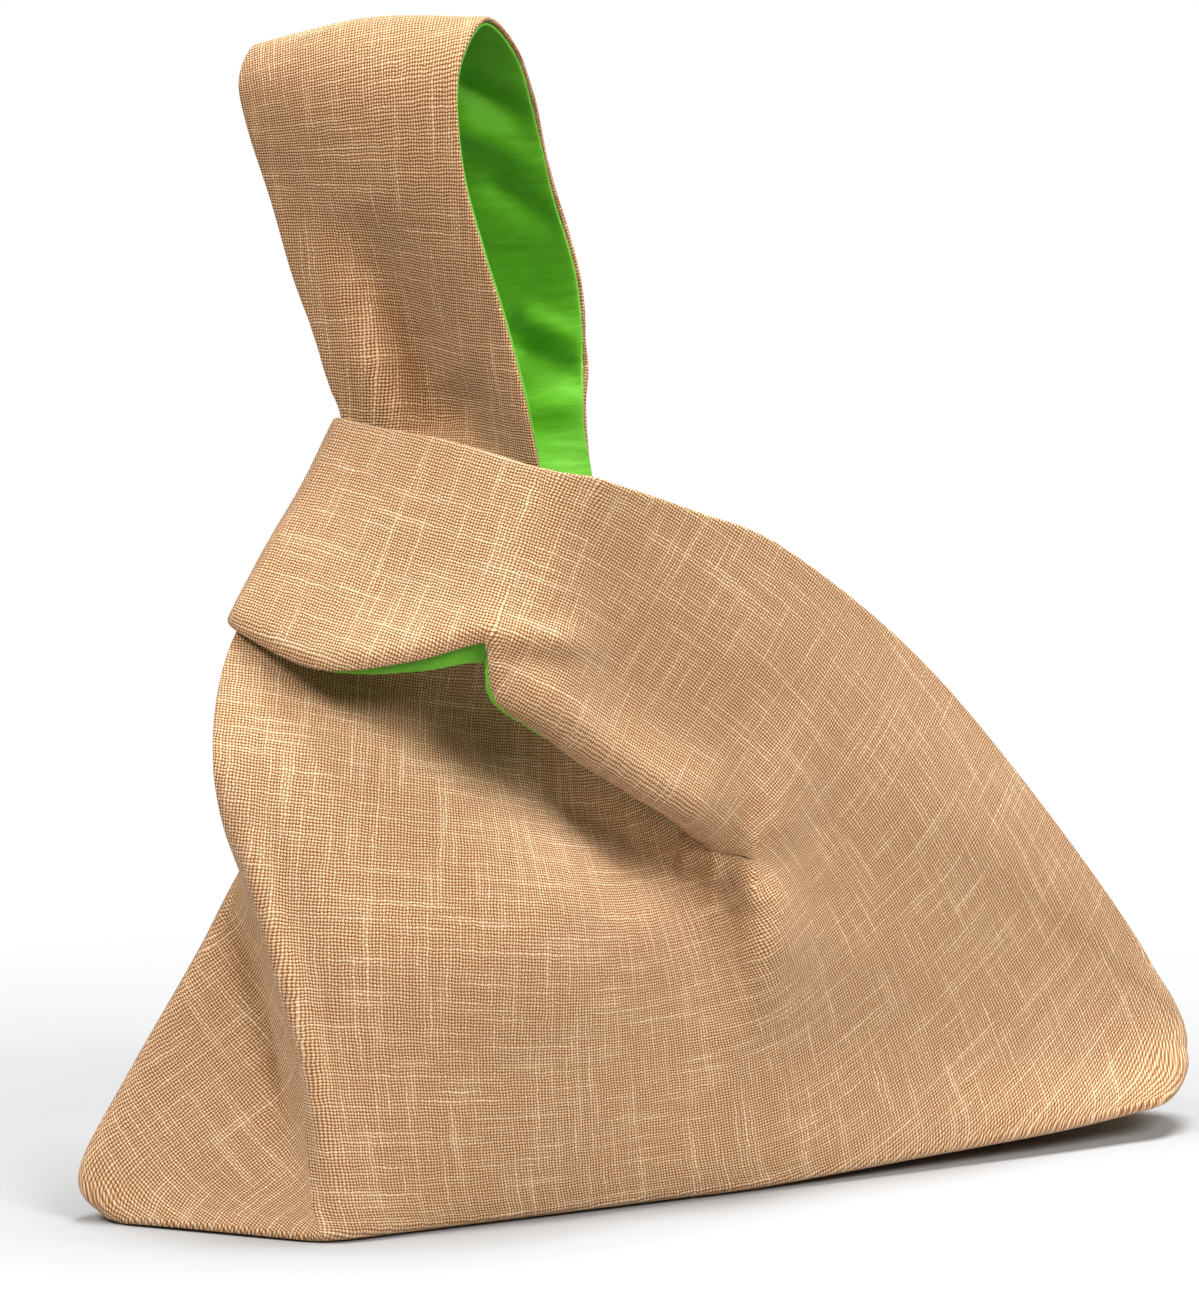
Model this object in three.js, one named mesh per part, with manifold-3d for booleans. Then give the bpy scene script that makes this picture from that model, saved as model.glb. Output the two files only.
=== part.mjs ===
// Japanese knot bag: a long strap loop drawn up through a short strap loop.
// Sizes are in millimetres, Z is up, X runs along the base and Y runs from front to back.
import * as THREE from 'three';
import Module from 'manifold-3d';

const wasm = await Module();
wasm.setup();

// Driving sizes
const pattern_square = 100;
const outer_cloth = 1.5;
const lining_cloth = 0.9;
const seam_gap = 0.3;
const base_skew_deg = 35;
const base_mid_share = [1.2, 0.38];
const base_lift_share = 0.08;
const lift_curve_share = 1.1;
const fold_radius = 24;
const fold_reach = 160;
const pleat_clip_radius = 9;
const outer_base_outset = 0.3;
const lining_base_inset = 3;
const outer_seam_share = 0.015;
const lining_seam_share = 0.13;
const loop_gap_share = 0.02;
const loop_start_share = 0.04;
const weld_share = 0.1;

// Cloth colours
const linen_colour = 0xc4a074;
const handle_colour = 0xb98e66;
const lining_colour = 0x4c9a1c;
const linen_roughness = 0.9;
const lining_roughness = 0.45;

// Sampling of the cloth surfaces
const front_step_count = 2;
const body_step_count = 3;
const round_side_count = 48;

// Outline points on the squared pattern paper, as shares of one square.
// Seen points: right, away, up, measured from the base's near corner as the bag is looked at.
// Front panel, one row per height, from the left edge to the right corner.
const front_panel_shares = [
  [
    [0.00, 0.01, 0.02], [0.22, 0.135, 0.02], [0.70, 0.405, 0.02], [1.06, 0.61, 0.02],
    [1.32, 0.76, 0.02], [1.80, 1.04, 0.05], [2.28, 1.33, 0.08], [2.63, 1.56, 0.125],
  ],
  [
    [-0.02, 0.015, 0.14], [0.20, 0.115, 0.14], [0.69, 0.36, 0.14], [1.06, 0.58, 0.14],
    [1.32, 0.74, 0.14], [1.80, 1.05, 0.15], [2.30, 1.37, 0.145], [2.665, 1.645, 0.15],
  ],
  [
    [-0.09, 0.055, 0.45], [0.16, 0.085, 0.45], [0.66, 0.28, 0.45], [1.06, 0.56, 0.45],
    [1.32, 0.72, 0.44], [1.82, 1.09, 0.38], [2.33, 1.47, 0.26], [2.685, 1.73, 0.19],
  ],
  [
    [-0.23, 0.16, 0.90], [0.06, 0.07, 0.90], [0.60, 0.22, 0.92], [1.05, 0.56, 0.86],
    [1.31, 0.66, 0.80], [1.80, 1.06, 0.66], [2.34, 1.52, 0.41], [2.68, 1.80, 0.21],
  ],
  [
    [-0.34, 0.24, 1.40], [0.02, 0.24, 1.42], [0.66, 0.52, 1.50], [1.04, 0.68, 1.23],
    [1.27, 0.67, 1.045], [1.80, 1.06, 0.95], [2.35, 1.55, 0.56], [2.68, 1.85, 0.24],
  ],
];
// Root of the front long strap, above the panel.
const front_root_shares = [
  [[-0.295, 0.48, 1.75], [0.14, 0.46, 1.77], [0.66, 0.56, 1.78]],
  [[-0.08, 0.65, 2.06], [0.27, 0.55, 2.08], [0.66, 0.47, 2.08]],
];
// Short strap, front half, one row from its lower edge to its upper edge.
const front_band_shares = [
  [
    [-0.31, 0.46, 1.82], [-0.09, 0.29, 1.735], [0.06, 0.21, 1.735], [0.27, 0.16, 1.775],
    [0.45, 0.14, 1.825], [0.495, 0.14, 1.775], [0.52, 0.14, 1.63], [0.65, 0.21, 1.505],
    [0.84, 0.39, 1.33], [1.05, 0.54, 1.17], [1.27, 0.67, 1.045],
  ],
  [
    [-0.175, 0.55, 2.04], [0.02, 0.39, 1.96], [0.18, 0.33, 1.94], [0.34, 0.26, 1.95],
    [0.50, 0.21, 1.96], [0.55, 0.20, 1.92], [0.61, 0.20, 1.85], [0.72, 0.26, 1.76],
    [0.84, 0.39, 1.63], [1.06, 0.54, 1.46], [1.32, 0.71, 1.32], [1.82, 1.08, 1.14],
    [2.37, 1.57, 0.64], [2.67, 1.86, 0.27],
  ],
  [
    [-0.065, 0.65, 2.21], [0.12, 0.49, 2.18], [0.26, 0.40, 2.16], [0.40, 0.33, 2.15],
    [0.56, 0.27, 2.13], [0.62, 0.27, 2.105], [0.68, 0.28, 2.07], [0.76, 0.33, 2.03],
    [0.84, 0.39, 1.96], [1.06, 0.54, 1.84], [1.34, 0.73, 1.67], [1.84, 1.14, 1.33],
    [2.385, 1.60, 0.71], [2.645, 1.86, 0.305],
  ],
  [
    [0.025, 0.72, 2.395], [0.20, 0.56, 2.38], [0.34, 0.46, 2.37], [0.47, 0.38, 2.345],
    [0.60, 0.33, 2.31], [0.65, 0.325, 2.30], [0.70, 0.32, 2.29], [0.78, 0.35, 2.275],
    [0.84, 0.39, 2.25], [1.08, 0.575, 2.14], [1.38, 0.81, 1.975], [1.85, 1.22, 1.51],
    [2.40, 1.63, 0.75], [2.61, 1.84, 0.335],
  ],
];
// Long strap, one row from the front leg over the ridge to the back leg: left edge, middle, right edge.
const long_strap_shares = [
  [[0.055, 0.79, 2.36], [0.37, 0.63, 2.40], [0.60, 0.41, 2.44]],
  [[-0.02, 0.84, 2.58], [0.265, 0.69, 2.65], [0.53, 0.44, 2.72]],
  [[-0.11, 0.90, 2.81], [0.17, 0.71, 2.88], [0.46, 0.45, 2.95]],
  [[-0.18, 0.93, 3.05], [0.09, 0.70, 3.12], [0.40, 0.48, 3.18]],
  [[-0.25, 0.94, 3.27], [0.04, 0.71, 3.35], [0.38, 0.52, 3.42]],
  [[-0.275, 0.96, 3.41], [0.05, 0.76, 3.51], [0.41, 0.58, 3.55]],
  [[-0.23, 1.00, 3.50], [0.11, 0.84, 3.595], [0.47, 0.67, 3.615]],
  [[-0.19, 1.05, 3.42], [0.18, 0.93, 3.51], [0.55, 0.77, 3.52]],
  [[-0.14, 1.10, 3.22], [0.23, 0.99, 3.31], [0.60, 0.84, 3.37]],
  [[-0.04, 1.14, 2.95], [0.32, 1.04, 3.03], [0.66, 0.88, 3.10]],
  [[0.06, 1.12, 2.68], [0.41, 1.03, 2.76], [0.74, 0.86, 2.82]],
  [[0.13, 1.06, 2.48], [0.46, 0.96, 2.53], [0.76, 0.80, 2.58]],
  [[0.17, 0.99, 2.34], [0.48, 0.89, 2.37], [0.76, 0.73, 2.40]],
];
const ridge_row = 6;
const strap_last_row = 12;

// Laid points: along the base, towards the back, up, from the same corner.
// Back panel, one row per height, from the left edge to the right corner.
const back_panel_shares = [
  [
    [-0.395, 0.66, 0.02], [0.08, 0.80, 0.02], [0.62, 0.86, 0.02], [0.95, 0.87, 0.02],
    [1.25, 0.87, 0.02], [1.85, 0.86, 0.05], [2.45, 0.82, 0.08], [2.88, 0.72, 0.12],
  ],
  [
    [-0.45, 0.73, 0.14], [0.08, 0.86, 0.14], [0.62, 0.92, 0.14], [0.95, 0.93, 0.14],
    [1.25, 0.92, 0.14], [1.85, 0.90, 0.15], [2.45, 0.83, 0.145], [2.92, 0.70, 0.145],
  ],
  [
    [-0.325, 0.62, 0.45], [0.10, 0.88, 0.45], [0.62, 0.96, 0.45], [0.95, 0.96, 0.45],
    [1.25, 0.94, 0.44], [1.85, 0.90, 0.38], [2.45, 0.80, 0.27], [2.955, 0.67, 0.18],
  ],
  [
    [-0.12, 0.45, 0.90], [0.20, 0.80, 0.90], [0.66, 0.93, 0.88], [0.97, 0.94, 0.82],
    [1.25, 0.93, 0.74], [1.85, 0.85, 0.63], [2.45, 0.75, 0.42], [2.97, 0.65, 0.22],
  ],
  [
    [0.24, 0.52, 1.40], [0.48, 0.72, 1.38], [0.80, 0.80, 1.30], [1.02, 0.84, 1.15],
    [1.25, 0.88, 1.00], [1.85, 0.80, 0.86], [2.45, 0.68, 0.54], [2.98, 0.62, 0.25],
  ],
];
const back_root_shares = [
  [[0.29, 0.69, 1.75], [0.62, 0.62, 1.70], [0.98, 0.42, 1.68]],
  [[0.46, 0.72, 2.06], [0.78, 0.46, 2.04], [1.05, 0.15, 2.06]],
];
// Short strap, back half, one row from its lower edge to its upper edge.
const back_band_shares = [
  [
    [0.01, 0.555, 1.82], [0.27, 0.82, 1.80], [0.54, 0.93, 1.70],
    [0.80, 0.95, 1.52], [1.04, 0.90, 1.24], [1.25, 0.88, 1.00],
  ],
  [
    [0.18, 0.585, 2.04], [0.36, 0.80, 1.95], [0.59, 0.90, 1.86],
    [0.82, 0.91, 1.74], [1.04, 0.90, 1.58], [1.28, 0.86, 1.30],
    [1.88, 0.74, 1.00], [2.46, 0.62, 0.62], [2.98, 0.60, 0.27],
  ],
  [
    [0.32, 0.60, 2.21], [0.45, 0.76, 2.14], [0.64, 0.84, 2.06],
    [0.82, 0.88, 1.98], [1.04, 0.90, 1.86], [1.32, 0.80, 1.60],
    [1.92, 0.64, 1.18], [2.48, 0.52, 0.70], [2.98, 0.58, 0.29],
  ],
  [
    [0.44, 0.605, 2.395], [0.54, 0.74, 2.34], [0.69, 0.83, 2.27],
    [0.84, 0.87, 2.21], [1.04, 0.90, 2.12], [1.40, 0.72, 1.88],
    [1.98, 0.50, 1.36], [2.52, 0.40, 0.76], [2.97, 0.56, 0.31],
  ],
];

// Side gussets, from the bottom to the peak, each row from the front edge to the back edge.
const left_gusset_shares = [
  [[-0.015, 0.006, 0.02], [-0.34, 0.15, 0.02], [-0.66, 0.30, 0.02]],
  [[-0.035, 0.02, 0.14], [-0.40, 0.17, 0.14], [-0.76, 0.33, 0.14]],
  [[-0.10, 0.065, 0.45], [-0.35, 0.18, 0.45], [-0.595, 0.305, 0.45]],
  [[-0.205, 0.145, 0.80], [-0.305, 0.21, 0.80], [-0.40, 0.28, 0.80]],
  [[-0.27, 0.19, 1.00], [-0.28, 0.22, 1.00], [-0.29, 0.25, 1.00]],
];
const right_gusset_shares = [
  [[2.95, -0.14, 0.125], [2.92, 0.25, 0.125], [2.88, 0.66, 0.125]],
  [[3.08, -0.03, 0.17], [3.04, 0.28, 0.17], [2.94, 0.61, 0.17]],
  [[3.16, 0.03, 0.22], [3.10, 0.28, 0.22], [2.97, 0.57, 0.22]],
];

// The line that the handle folds about: a point on it and its direction, as seen.
const fold_point_share = [0.37, 0.77, 2.52];
const fold_line_share = [0.862, -0.49, -0.13];
// The tip of the front pleat, as seen.
const pleat_tip_share = [1.23, 0.67, 1.06];

// Cloth columns and rows that the panels and straps share.
const strap_index = 2;
const notch_index = 4;
const panel_last_index = 7;
const panel_top_row = 4;
const band_top_row = 3;
const root_end_row = 2;
const front_loop_index = 8;
const back_loop_index = 4;

const quarter_turn = Math.PI / 2;
const degree = quarter_turn / 90;
const base_mid_x = pattern_square * base_mid_share[0];
const base_mid_y = pattern_square * base_mid_share[1];
const base_lift = pattern_square * base_lift_share;
const skew = base_skew_deg * degree;
const skew_cos = Math.cos(skew);
const skew_sin = Math.sin(skew);

// A seen point, turned so that the base's front edge lies along X.
function seen(share) {
  const right = share[0] * pattern_square;
  const away = share[1] * pattern_square;
  const along = right * skew_cos + away * skew_sin;
  const back = away * skew_cos - right * skew_sin;
  return new THREE.Vector3(along - base_mid_x, back - base_mid_y, share[2] * pattern_square);
}

function laid(share) {
  const along = share[0] * pattern_square - base_mid_x;
  const back = share[1] * pattern_square - base_mid_y;
  return new THREE.Vector3(along, back, share[2] * pattern_square);
}

function placed(rows, place) {
  return rows.map((row) => row.map(place));
}

// A smooth curve through points, with straight run-outs at its two ends.
function through(points, position) {
  const last = points.length - 1;
  const index = Math.min(Math.max(Math.floor(position), 0), last - 1);
  const share = position - index;
  const start = points[index];
  const end = points[index + 1];
  const before = index > 0 ? points[index - 1] : start.clone().add(start).sub(end);
  const after = index < last - 1 ? points[index + 2] : end.clone().add(end).sub(start);
  const squared = share * share;
  const cubed = squared * share;
  const out = new THREE.Vector3();
  out.addScaledVector(before, (2 * squared - cubed - share) / 2);
  out.addScaledVector(start, (3 * cubed - 5 * squared + 2) / 2);
  out.addScaledVector(end, (share + 4 * squared - 3 * cubed) / 2);
  out.addScaledVector(after, (cubed - squared) / 2);
  return out;
}

// Even positions from one place to another along a net's rows or columns.
function positions(from, to, steps) {
  const count = Math.max(Math.round((to - from) * steps), 1);
  const list = [];
  for (let index = 0; index <= count; index += 1) {
    list.push(from + ((to - from) * index) / count);
  }
  return list;
}

// A sheet is a list of points and the four-sided facets between them.
function sheetOf(pointAt, across, along) {
  const points = [];
  const facets = [];
  along.forEach((row) => across.forEach((column) => points.push(pointAt(column, row))));
  for (let row = 0; row < along.length - 1; row += 1) {
    for (let column = 0; column < across.length - 1; column += 1) {
      const corner = row * across.length + column;
      facets.push([corner, corner + 1, corner + across.length + 1, corner + across.length]);
    }
  }
  return { points, facets };
}

// Sheets that share an edge become one sheet.
function joined(sheets) {
  const weld = seam_gap * weld_share;
  const points = [];
  const facets = [];
  const places = new Map();
  sheets.forEach((sheet) => {
    const index = sheet.points.map((point) => {
      const key = [point.x, point.y, point.z].map((value) => Math.round(value / weld)).join(' ');
      if (!places.has(key)) {
        places.set(key, points.length);
        points.push(point);
      }
      return places.get(key);
    });
    sheet.facets.forEach((facet) => facets.push(facet.map((corner) => index[corner])));
  });
  return { points, facets };
}

function cornerNormals(sheet) {
  const normals = sheet.points.map(() => new THREE.Vector3());
  sheet.facets.forEach((facet) => {
    const [a, b, c, d] = facet.map((corner) => sheet.points[corner]);
    const normal = c.clone().sub(a).cross(d.clone().sub(b)).normalize();
    facet.forEach((corner) => normals[corner].add(normal));
  });
  return normals.map((normal) => normal.normalize());
}

// Edges that belong to one facet only, in the order that facet walks them.
function openEdges(facets) {
  const seenEdges = new Map();
  facets.forEach((facet) => {
    facet.forEach((corner, place) => {
      const next = facet[(place + 1) % facet.length];
      const twin = `${next} ${corner}`;
      if (seenEdges.has(twin)) {
        seenEdges.delete(twin);
      } else {
        seenEdges.set(`${corner} ${next}`, [corner, next]);
      }
    });
  });
  return [...seenEdges.values()];
}

// A cloth solid between two distances on the outward side of a sheet.
function cloth(sheet, inside, outside) {
  const normals = sheet.normals || cornerNormals(sheet);
  const count = sheet.points.length;
  const position = [];
  [outside, inside].forEach((distance) => {
    sheet.points.forEach((point, index) => {
      const moved = point.clone().addScaledVector(normals[index], distance);
      position.push(moved.x, moved.y, moved.z);
    });
  });
  const triangles = [];
  sheet.facets.forEach(([a, b, c, d]) => {
    triangles.push(a, b, c, a, c, d);
    triangles.push(a + count, c + count, b + count, a + count, d + count, c + count);
  });
  openEdges(sheet.facets).forEach(([from, to]) => {
    triangles.push(from, from + count, to + count, from, to + count, to);
  });
  return solidFrom(new Float32Array(position), new Uint32Array(triangles));
}

function solidFrom(vertProperties, triVerts) {
  const mesh = new wasm.Mesh({ numProp: 3, vertProperties, triVerts });
  mesh.merge();
  return new wasm.Manifold(mesh);
}

function solidOf(shape) {
  const position = new Float32Array(shape.getAttribute('position').array);
  const index = shape.index
    ? new Uint32Array(shape.index.array)
    : Uint32Array.from({ length: position.length / 3 }, (_, corner) => corner);
  return solidFrom(position, index);
}

function shapeOf(solid) {
  const mesh = solid.getMesh();
  const shape = new THREE.BufferGeometry();
  shape.setAttribute('position', new THREE.BufferAttribute(new Float32Array(mesh.vertProperties), 3));
  shape.setIndex(new THREE.BufferAttribute(new Uint32Array(mesh.triVerts), 1));
  shape.computeVertexNormals();
  return shape;
}

// One panel with its long strap's root and its short strap, as nets of smooth rows.
function makeSide(panel, root, band, strapRows) {
  const bandNotch = band[0].length - 1;
  const shared = panel[panel_top_row].slice(notch_index);
  const joinAt = (past) => through(shared, past);
  const panelRow = (row, column) => {
    if (row === panel_top_row && column > notch_index) {
      return joinAt(column - notch_index);
    }
    const points = row === panel_top_row ? panel[row].slice(0, notch_index + 1) : panel[row];
    return through(points, column);
  };
  const bandRow = (row, column) => {
    if (row === 0 && column > bandNotch) {
      return joinAt(column - bandNotch);
    }
    return through(band[row], column);
  };
  const panelAt = (column, row) => {
    const points = panel.map((_, index) => panelRow(index, column));
    if (column <= strap_index) {
      root.concat(strapRows).forEach((strapRow) => points.push(through(strapRow, column)));
    }
    if (column >= notch_index) {
      const past = column - notch_index + bandNotch;
      band.slice(1).forEach((_, index) => points.push(bandRow(index + 1, past)));
    }
    return through(points, row);
  };
  const bandAt = (column, row) => {
    const points = band.map((_, index) => bandRow(index, column));
    if (column >= bandNotch) {
      const panelColumn = column - bandNotch + notch_index;
      const below = panel.slice(0, panel_top_row).map((_, index) => panelRow(index, panelColumn));
      return through(below.concat(points), row + panel_top_row);
    }
    return through(points, row);
  };
  return { panelAt, bandAt, bandNotch, bandLast: bandNotch + panel_last_index - notch_index };
}

// Body part of a side: the panel, the strap's root and the short strap as far as its loop.
function bodySheet(side, loopColumn, rootRows) {
  const left = positions(0, strap_index, body_step_count);
  const middle = positions(strap_index, notch_index, body_step_count);
  const right = positions(notch_index, panel_last_index, body_step_count);
  const across = left.concat(middle.slice(1), right.slice(1));
  const up = positions(0, panel_top_row, body_step_count);
  const panel = sheetOf(side.panelAt, across, up);
  const rootUp = positions(panel_top_row, panel_top_row + rootRows, front_step_count);
  const root = sheetOf(side.panelAt, left, rootUp);
  const toNotch = positions(loopColumn, side.bandNotch, body_step_count);
  const pastNotch = right.map((column) => column - notch_index + side.bandNotch);
  const bandAcross = toNotch.concat(pastNotch.slice(1));
  const band = sheetOf(side.bandAt, bandAcross, positions(0, band_top_row, body_step_count));
  return joined([panel, root, band]);
}

function loopSheet(side, loopColumn) {
  const across = positions(loop_start_share, loopColumn, front_step_count);
  return sheetOf(side.bandAt, across, positions(0, band_top_row, body_step_count));
}

// The same sheet with its outward side turned over.
function turnedOver(sheet) {
  return { points: sheet.points, facets: sheet.facets.map((facet) => facet.slice().reverse()) };
}

const front_panel = placed(front_panel_shares, seen);
const front_root = placed(front_root_shares, seen);
const front_band = placed(front_band_shares, seen);
const long_strap = placed(long_strap_shares, seen);
const back_panel = placed(back_panel_shares, laid);
const back_root = placed(back_root_shares, laid);
const back_band = placed(back_band_shares, laid);

// The handle folds about a line that runs along the top of the short loop.
const fold_point = seen(fold_point_share);
const fold_axis = seen(fold_line_share).sub(seen([0, 0, 0])).normalize();

function foldFrame() {
  const up = new THREE.Vector3(0, 0, 1);
  const side = new THREE.Vector3().crossVectors(up, fold_axis).normalize();
  const rise = new THREE.Vector3().crossVectors(fold_axis, side);
  return new THREE.Matrix4().makeBasis(fold_axis, side, rise).setPosition(fold_point);
}

// A round bar about the fold line: the strap's root ends inside it and the handle starts outside it.
function foldBar(radius) {
  const bar = new THREE.CylinderGeometry(radius, radius, fold_reach * 2, round_side_count);
  bar.rotateZ(quarter_turn);
  bar.applyMatrix4(foldFrame());
  return solidOf(bar);
}

function foldSpace(above) {
  const box = new THREE.BoxGeometry(fold_reach * 2, fold_reach * 2, fold_reach * 2);
  box.translate(0, 0, above ? fold_reach : -fold_reach);
  box.applyMatrix4(foldFrame());
  return solidOf(box);
}

function rootCut(solid) {
  const beyond = foldSpace(true).subtract(foldBar(fold_radius));
  return solid.subtract(beyond);
}

function handleCut(solid) {
  const below = foldSpace(false).add(foldBar(fold_radius + seam_gap * 2));
  return solid.subtract(below);
}

const front_side = makeSide(front_panel, front_root, front_band, long_strap.slice(0, root_end_row + 1));
const back_strap = long_strap.map((row) => row.slice()).reverse();
const back_side = makeSide(back_panel, back_root, back_band, back_strap.slice(0, root_end_row + 1));
const root_rows = front_root_shares.length + root_end_row + 1;

// The whole handle, with extra rows where its two halves and their linings meet at the ridge.
function handleSheet() {
  const at = (column, row) => through(long_strap.map((points) => through(points, column)), row);
  const rise = positions(0, ridge_row - 1 / front_step_count, front_step_count);
  const front = rise.concat(ridge_row - lining_seam_share, ridge_row - outer_seam_share);
  const back = front.map((row) => strap_last_row - row).reverse();
  const rows = front.concat(back);
  return { rows, sheet: sheetOf(at, positions(0, strap_index, body_step_count), rows) };
}

// The rows of a sheet between two positions, still facing the way that the whole sheet does.
function rowsBetween(whole, fromRow, toRow) {
  const width = whole.sheet.points.length / whole.rows.length;
  const kept = (list) => list.filter((_, index) => {
    const row = whole.rows[Math.floor(index / width)];
    return row >= fromRow && row <= toRow;
  });
  const points = kept(whole.sheet.points);
  const normals = kept(cornerNormals(whole.sheet));
  const across = positions(0, width - 1, 1);
  const part = sheetOf(() => null, across, positions(0, points.length / width - 1, 1));
  return { points, normals, facets: part.facets };
}

function gussetSheet(shares, place) {
  const net = placed(shares, place);
  const at = (column, row) => through(net.map((points) => through(points, column)), row);
  const across = positions(0, strap_index, front_step_count);
  return sheetOf(at, across, positions(0, net.length - 1, front_step_count));
}

// The base lies between the feet of the two panels.
function baseSheet(inset) {
  const at = (column, row) => {
    const front = through(front_panel[0], column);
    const back = through(back_panel[0], column);
    const across = back.clone().sub(front).setZ(0).normalize();
    front.addScaledVector(across, inset);
    back.addScaledVector(across, -inset);
    return front.lerp(back, row).setZ(base_level + baseLift(column));
  };
  const ends = inset / pattern_square;
  const along = positions(ends, panel_last_index - ends, body_step_count);
  return sheetOf(at, along, positions(0, 1, body_step_count));
}

// The end of the base curls up a little.
function baseLift(column) {
  const share = Math.max((column - notch_index) / (panel_last_index - notch_index), 0);
  return base_lift * Math.pow(share, lift_curve_share);
}

const base_level = outer_cloth + seam_gap / 2;
const outer_range = [seam_gap / 2, seam_gap / 2 + outer_cloth];
const lining_range = [-seam_gap / 2 - lining_cloth, -seam_gap / 2];

const bag = new THREE.Group();
bag.name = 'japanese_knot_bag';

function add(name, solid, colour, roughness) {
  const material = new THREE.MeshStandardMaterial({ color: colour, roughness, metalness: 0 });
  const mesh = new THREE.Mesh(shapeOf(solid), material);
  mesh.name = name;
  bag.add(mesh);
}

// Each cloth sheet makes an outer piece and a lining piece.
function addLayers(place, sheet, cut, colour) {
  add(`outer_${place}`, cut(cloth(sheet, ...outer_range)), colour, linen_roughness);
  add(`lining_${place}`, cut(cloth(sheet, ...lining_range)), lining_colour, lining_roughness);
}

const uncut = (solid) => solid;

const handle_sheet = handleSheet();

// One half of the handle in one of its two cloths, from its foot to the ridge seam.
function handleHalf(isBack, seam, range) {
  const rows = isBack ? [ridge_row + seam, strap_last_row] : [0, ridge_row - seam];
  return handleCut(cloth(rowsBetween(handle_sheet, ...rows), ...range));
}

function addHandleHalf(place, isBack) {
  const outer = handleHalf(isBack, outer_seam_share, outer_range);
  const lining = handleHalf(isBack, lining_seam_share, lining_range);
  add(`outer_${place}`, outer, handle_colour, linen_roughness);
  add(`lining_${place}`, lining, lining_colour, lining_roughness);
}

// The lining is clipped round the tip of the front pleat, where the folded cloth comes together.
function pleatClip(solid) {
  const ball = new THREE.SphereGeometry(pleat_clip_radius, round_side_count / 4, round_side_count / 6);
  const centre = seen(pleat_tip_share);
  ball.translate(centre.x, centre.y, centre.z);
  return rootCut(solid).subtract(solidOf(ball));
}

const front_body = bodySheet(front_side, front_loop_index + loop_gap_share, root_rows);
add('outer_front_panel', rootCut(cloth(front_body, ...outer_range)), linen_colour, linen_roughness);
add('lining_front_panel', pleatClip(cloth(front_body, ...lining_range)), lining_colour, lining_roughness);
const back_body = turnedOver(bodySheet(back_side, back_loop_index + loop_gap_share, root_rows));
addLayers('back_panel', back_body, rootCut, linen_colour);
addLayers('short_loop_front', loopSheet(front_side, front_loop_index), uncut, linen_colour);
addLayers('short_loop_back', turnedOver(loopSheet(back_side, back_loop_index)), uncut, linen_colour);
addHandleHalf('handle_front', false);
addHandleHalf('handle_back', true);
addLayers('left_gusset', turnedOver(gussetSheet(left_gusset_shares, seen)), uncut, linen_colour);
addLayers('right_gusset', gussetSheet(right_gusset_shares, laid), uncut, linen_colour);

const outer_base = cloth(turnedOver(baseSheet(-outer_base_outset)), ...outer_range);
const lining_base = cloth(turnedOver(baseSheet(lining_base_inset)), ...lining_range);
add('outer_base', outer_base, linen_colour, linen_roughness);
add('lining_base', lining_base, lining_colour, lining_roughness);

export default bag;
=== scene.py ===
import math
import bpy
import numpy as np
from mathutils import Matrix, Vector


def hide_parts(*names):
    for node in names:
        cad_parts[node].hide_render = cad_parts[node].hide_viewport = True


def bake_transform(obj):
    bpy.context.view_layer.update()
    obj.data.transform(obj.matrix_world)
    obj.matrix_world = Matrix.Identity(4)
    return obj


# Japanese knot bag: tan linen shell with a green lining, its long strap drawn up through the short one.
# Lengths are in millimetres until a mesh is made, then in metres.
MM = 0.001
TINY = 1e-9
PATTERN_SQUARE = 100.0
BASE_SKEW = math.radians(35.0)
BASE_MID = (120.0, 38.0)

# Camera, as the photograph was taken.
CAMERA_RISE = math.radians(9.5)
CAMERA_DISTANCE = 3000.0
CAMERA_CLIP = (0.1, 50.0)
PIXEL = 0.30
IMAGE_SIZE = (1199, 1312)
NEAR_CORNER_PIXEL = (330.0, 1246.0)

# Layers of cloth: from where to where outside the middle surface, and how far back from the cut edge. Then
# the angles of the points round a rim, and the size of the cells in which points count as one.
OUTER_LAYER = (0.15, 1.65, 0.0)
LINING_LAYER = (-1.05, -0.15, 0.35)
RIM_TURNS = (0.9, 0.0, -0.9)
WELD = 0.0173

# Outline points on the squared pattern paper, as shares of one square.
# Seen points: right, away, up, from the base's near corner as the bag is looked at.
FRONT_PANEL_SHARES = [
    [[0.0, 0.01, 0.02], [0.22, 0.135, 0.02], [0.7, 0.405, 0.02], [1.06, 0.61, 0.02], [1.32, 0.76, 0.02],
     [1.8, 1.04, 0.05], [2.28, 1.33, 0.08], [2.63, 1.56, 0.125]],
    [[-0.02, 0.015, 0.14], [0.2, 0.115, 0.14], [0.69, 0.36, 0.14], [1.06, 0.58, 0.14], [1.32, 0.74, 0.14],
     [1.8, 1.05, 0.15], [2.3, 1.37, 0.145], [2.665, 1.645, 0.15]],
    [[-0.09, 0.055, 0.45], [0.16, 0.085, 0.45], [0.66, 0.28, 0.45], [1.06, 0.56, 0.45], [1.32, 0.72, 0.44],
     [1.82, 1.09, 0.38], [2.33, 1.47, 0.26], [2.685, 1.73, 0.19]],
    [[-0.23, 0.16, 0.9], [0.06, 0.07, 0.9], [0.6, 0.22, 0.92], [1.05, 0.56, 0.86], [1.31, 0.66, 0.8],
     [1.8, 1.06, 0.66], [2.34, 1.52, 0.41], [2.68, 1.8, 0.21]],
    [[-0.34, 0.24, 1.4], [0.02, 0.24, 1.42], [0.66, 0.52, 1.5], [1.04, 0.68, 1.23], [1.27, 0.67, 1.045],
     [1.8, 1.06, 0.95], [2.35, 1.55, 0.56], [2.68, 1.85, 0.24]],
]
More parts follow.
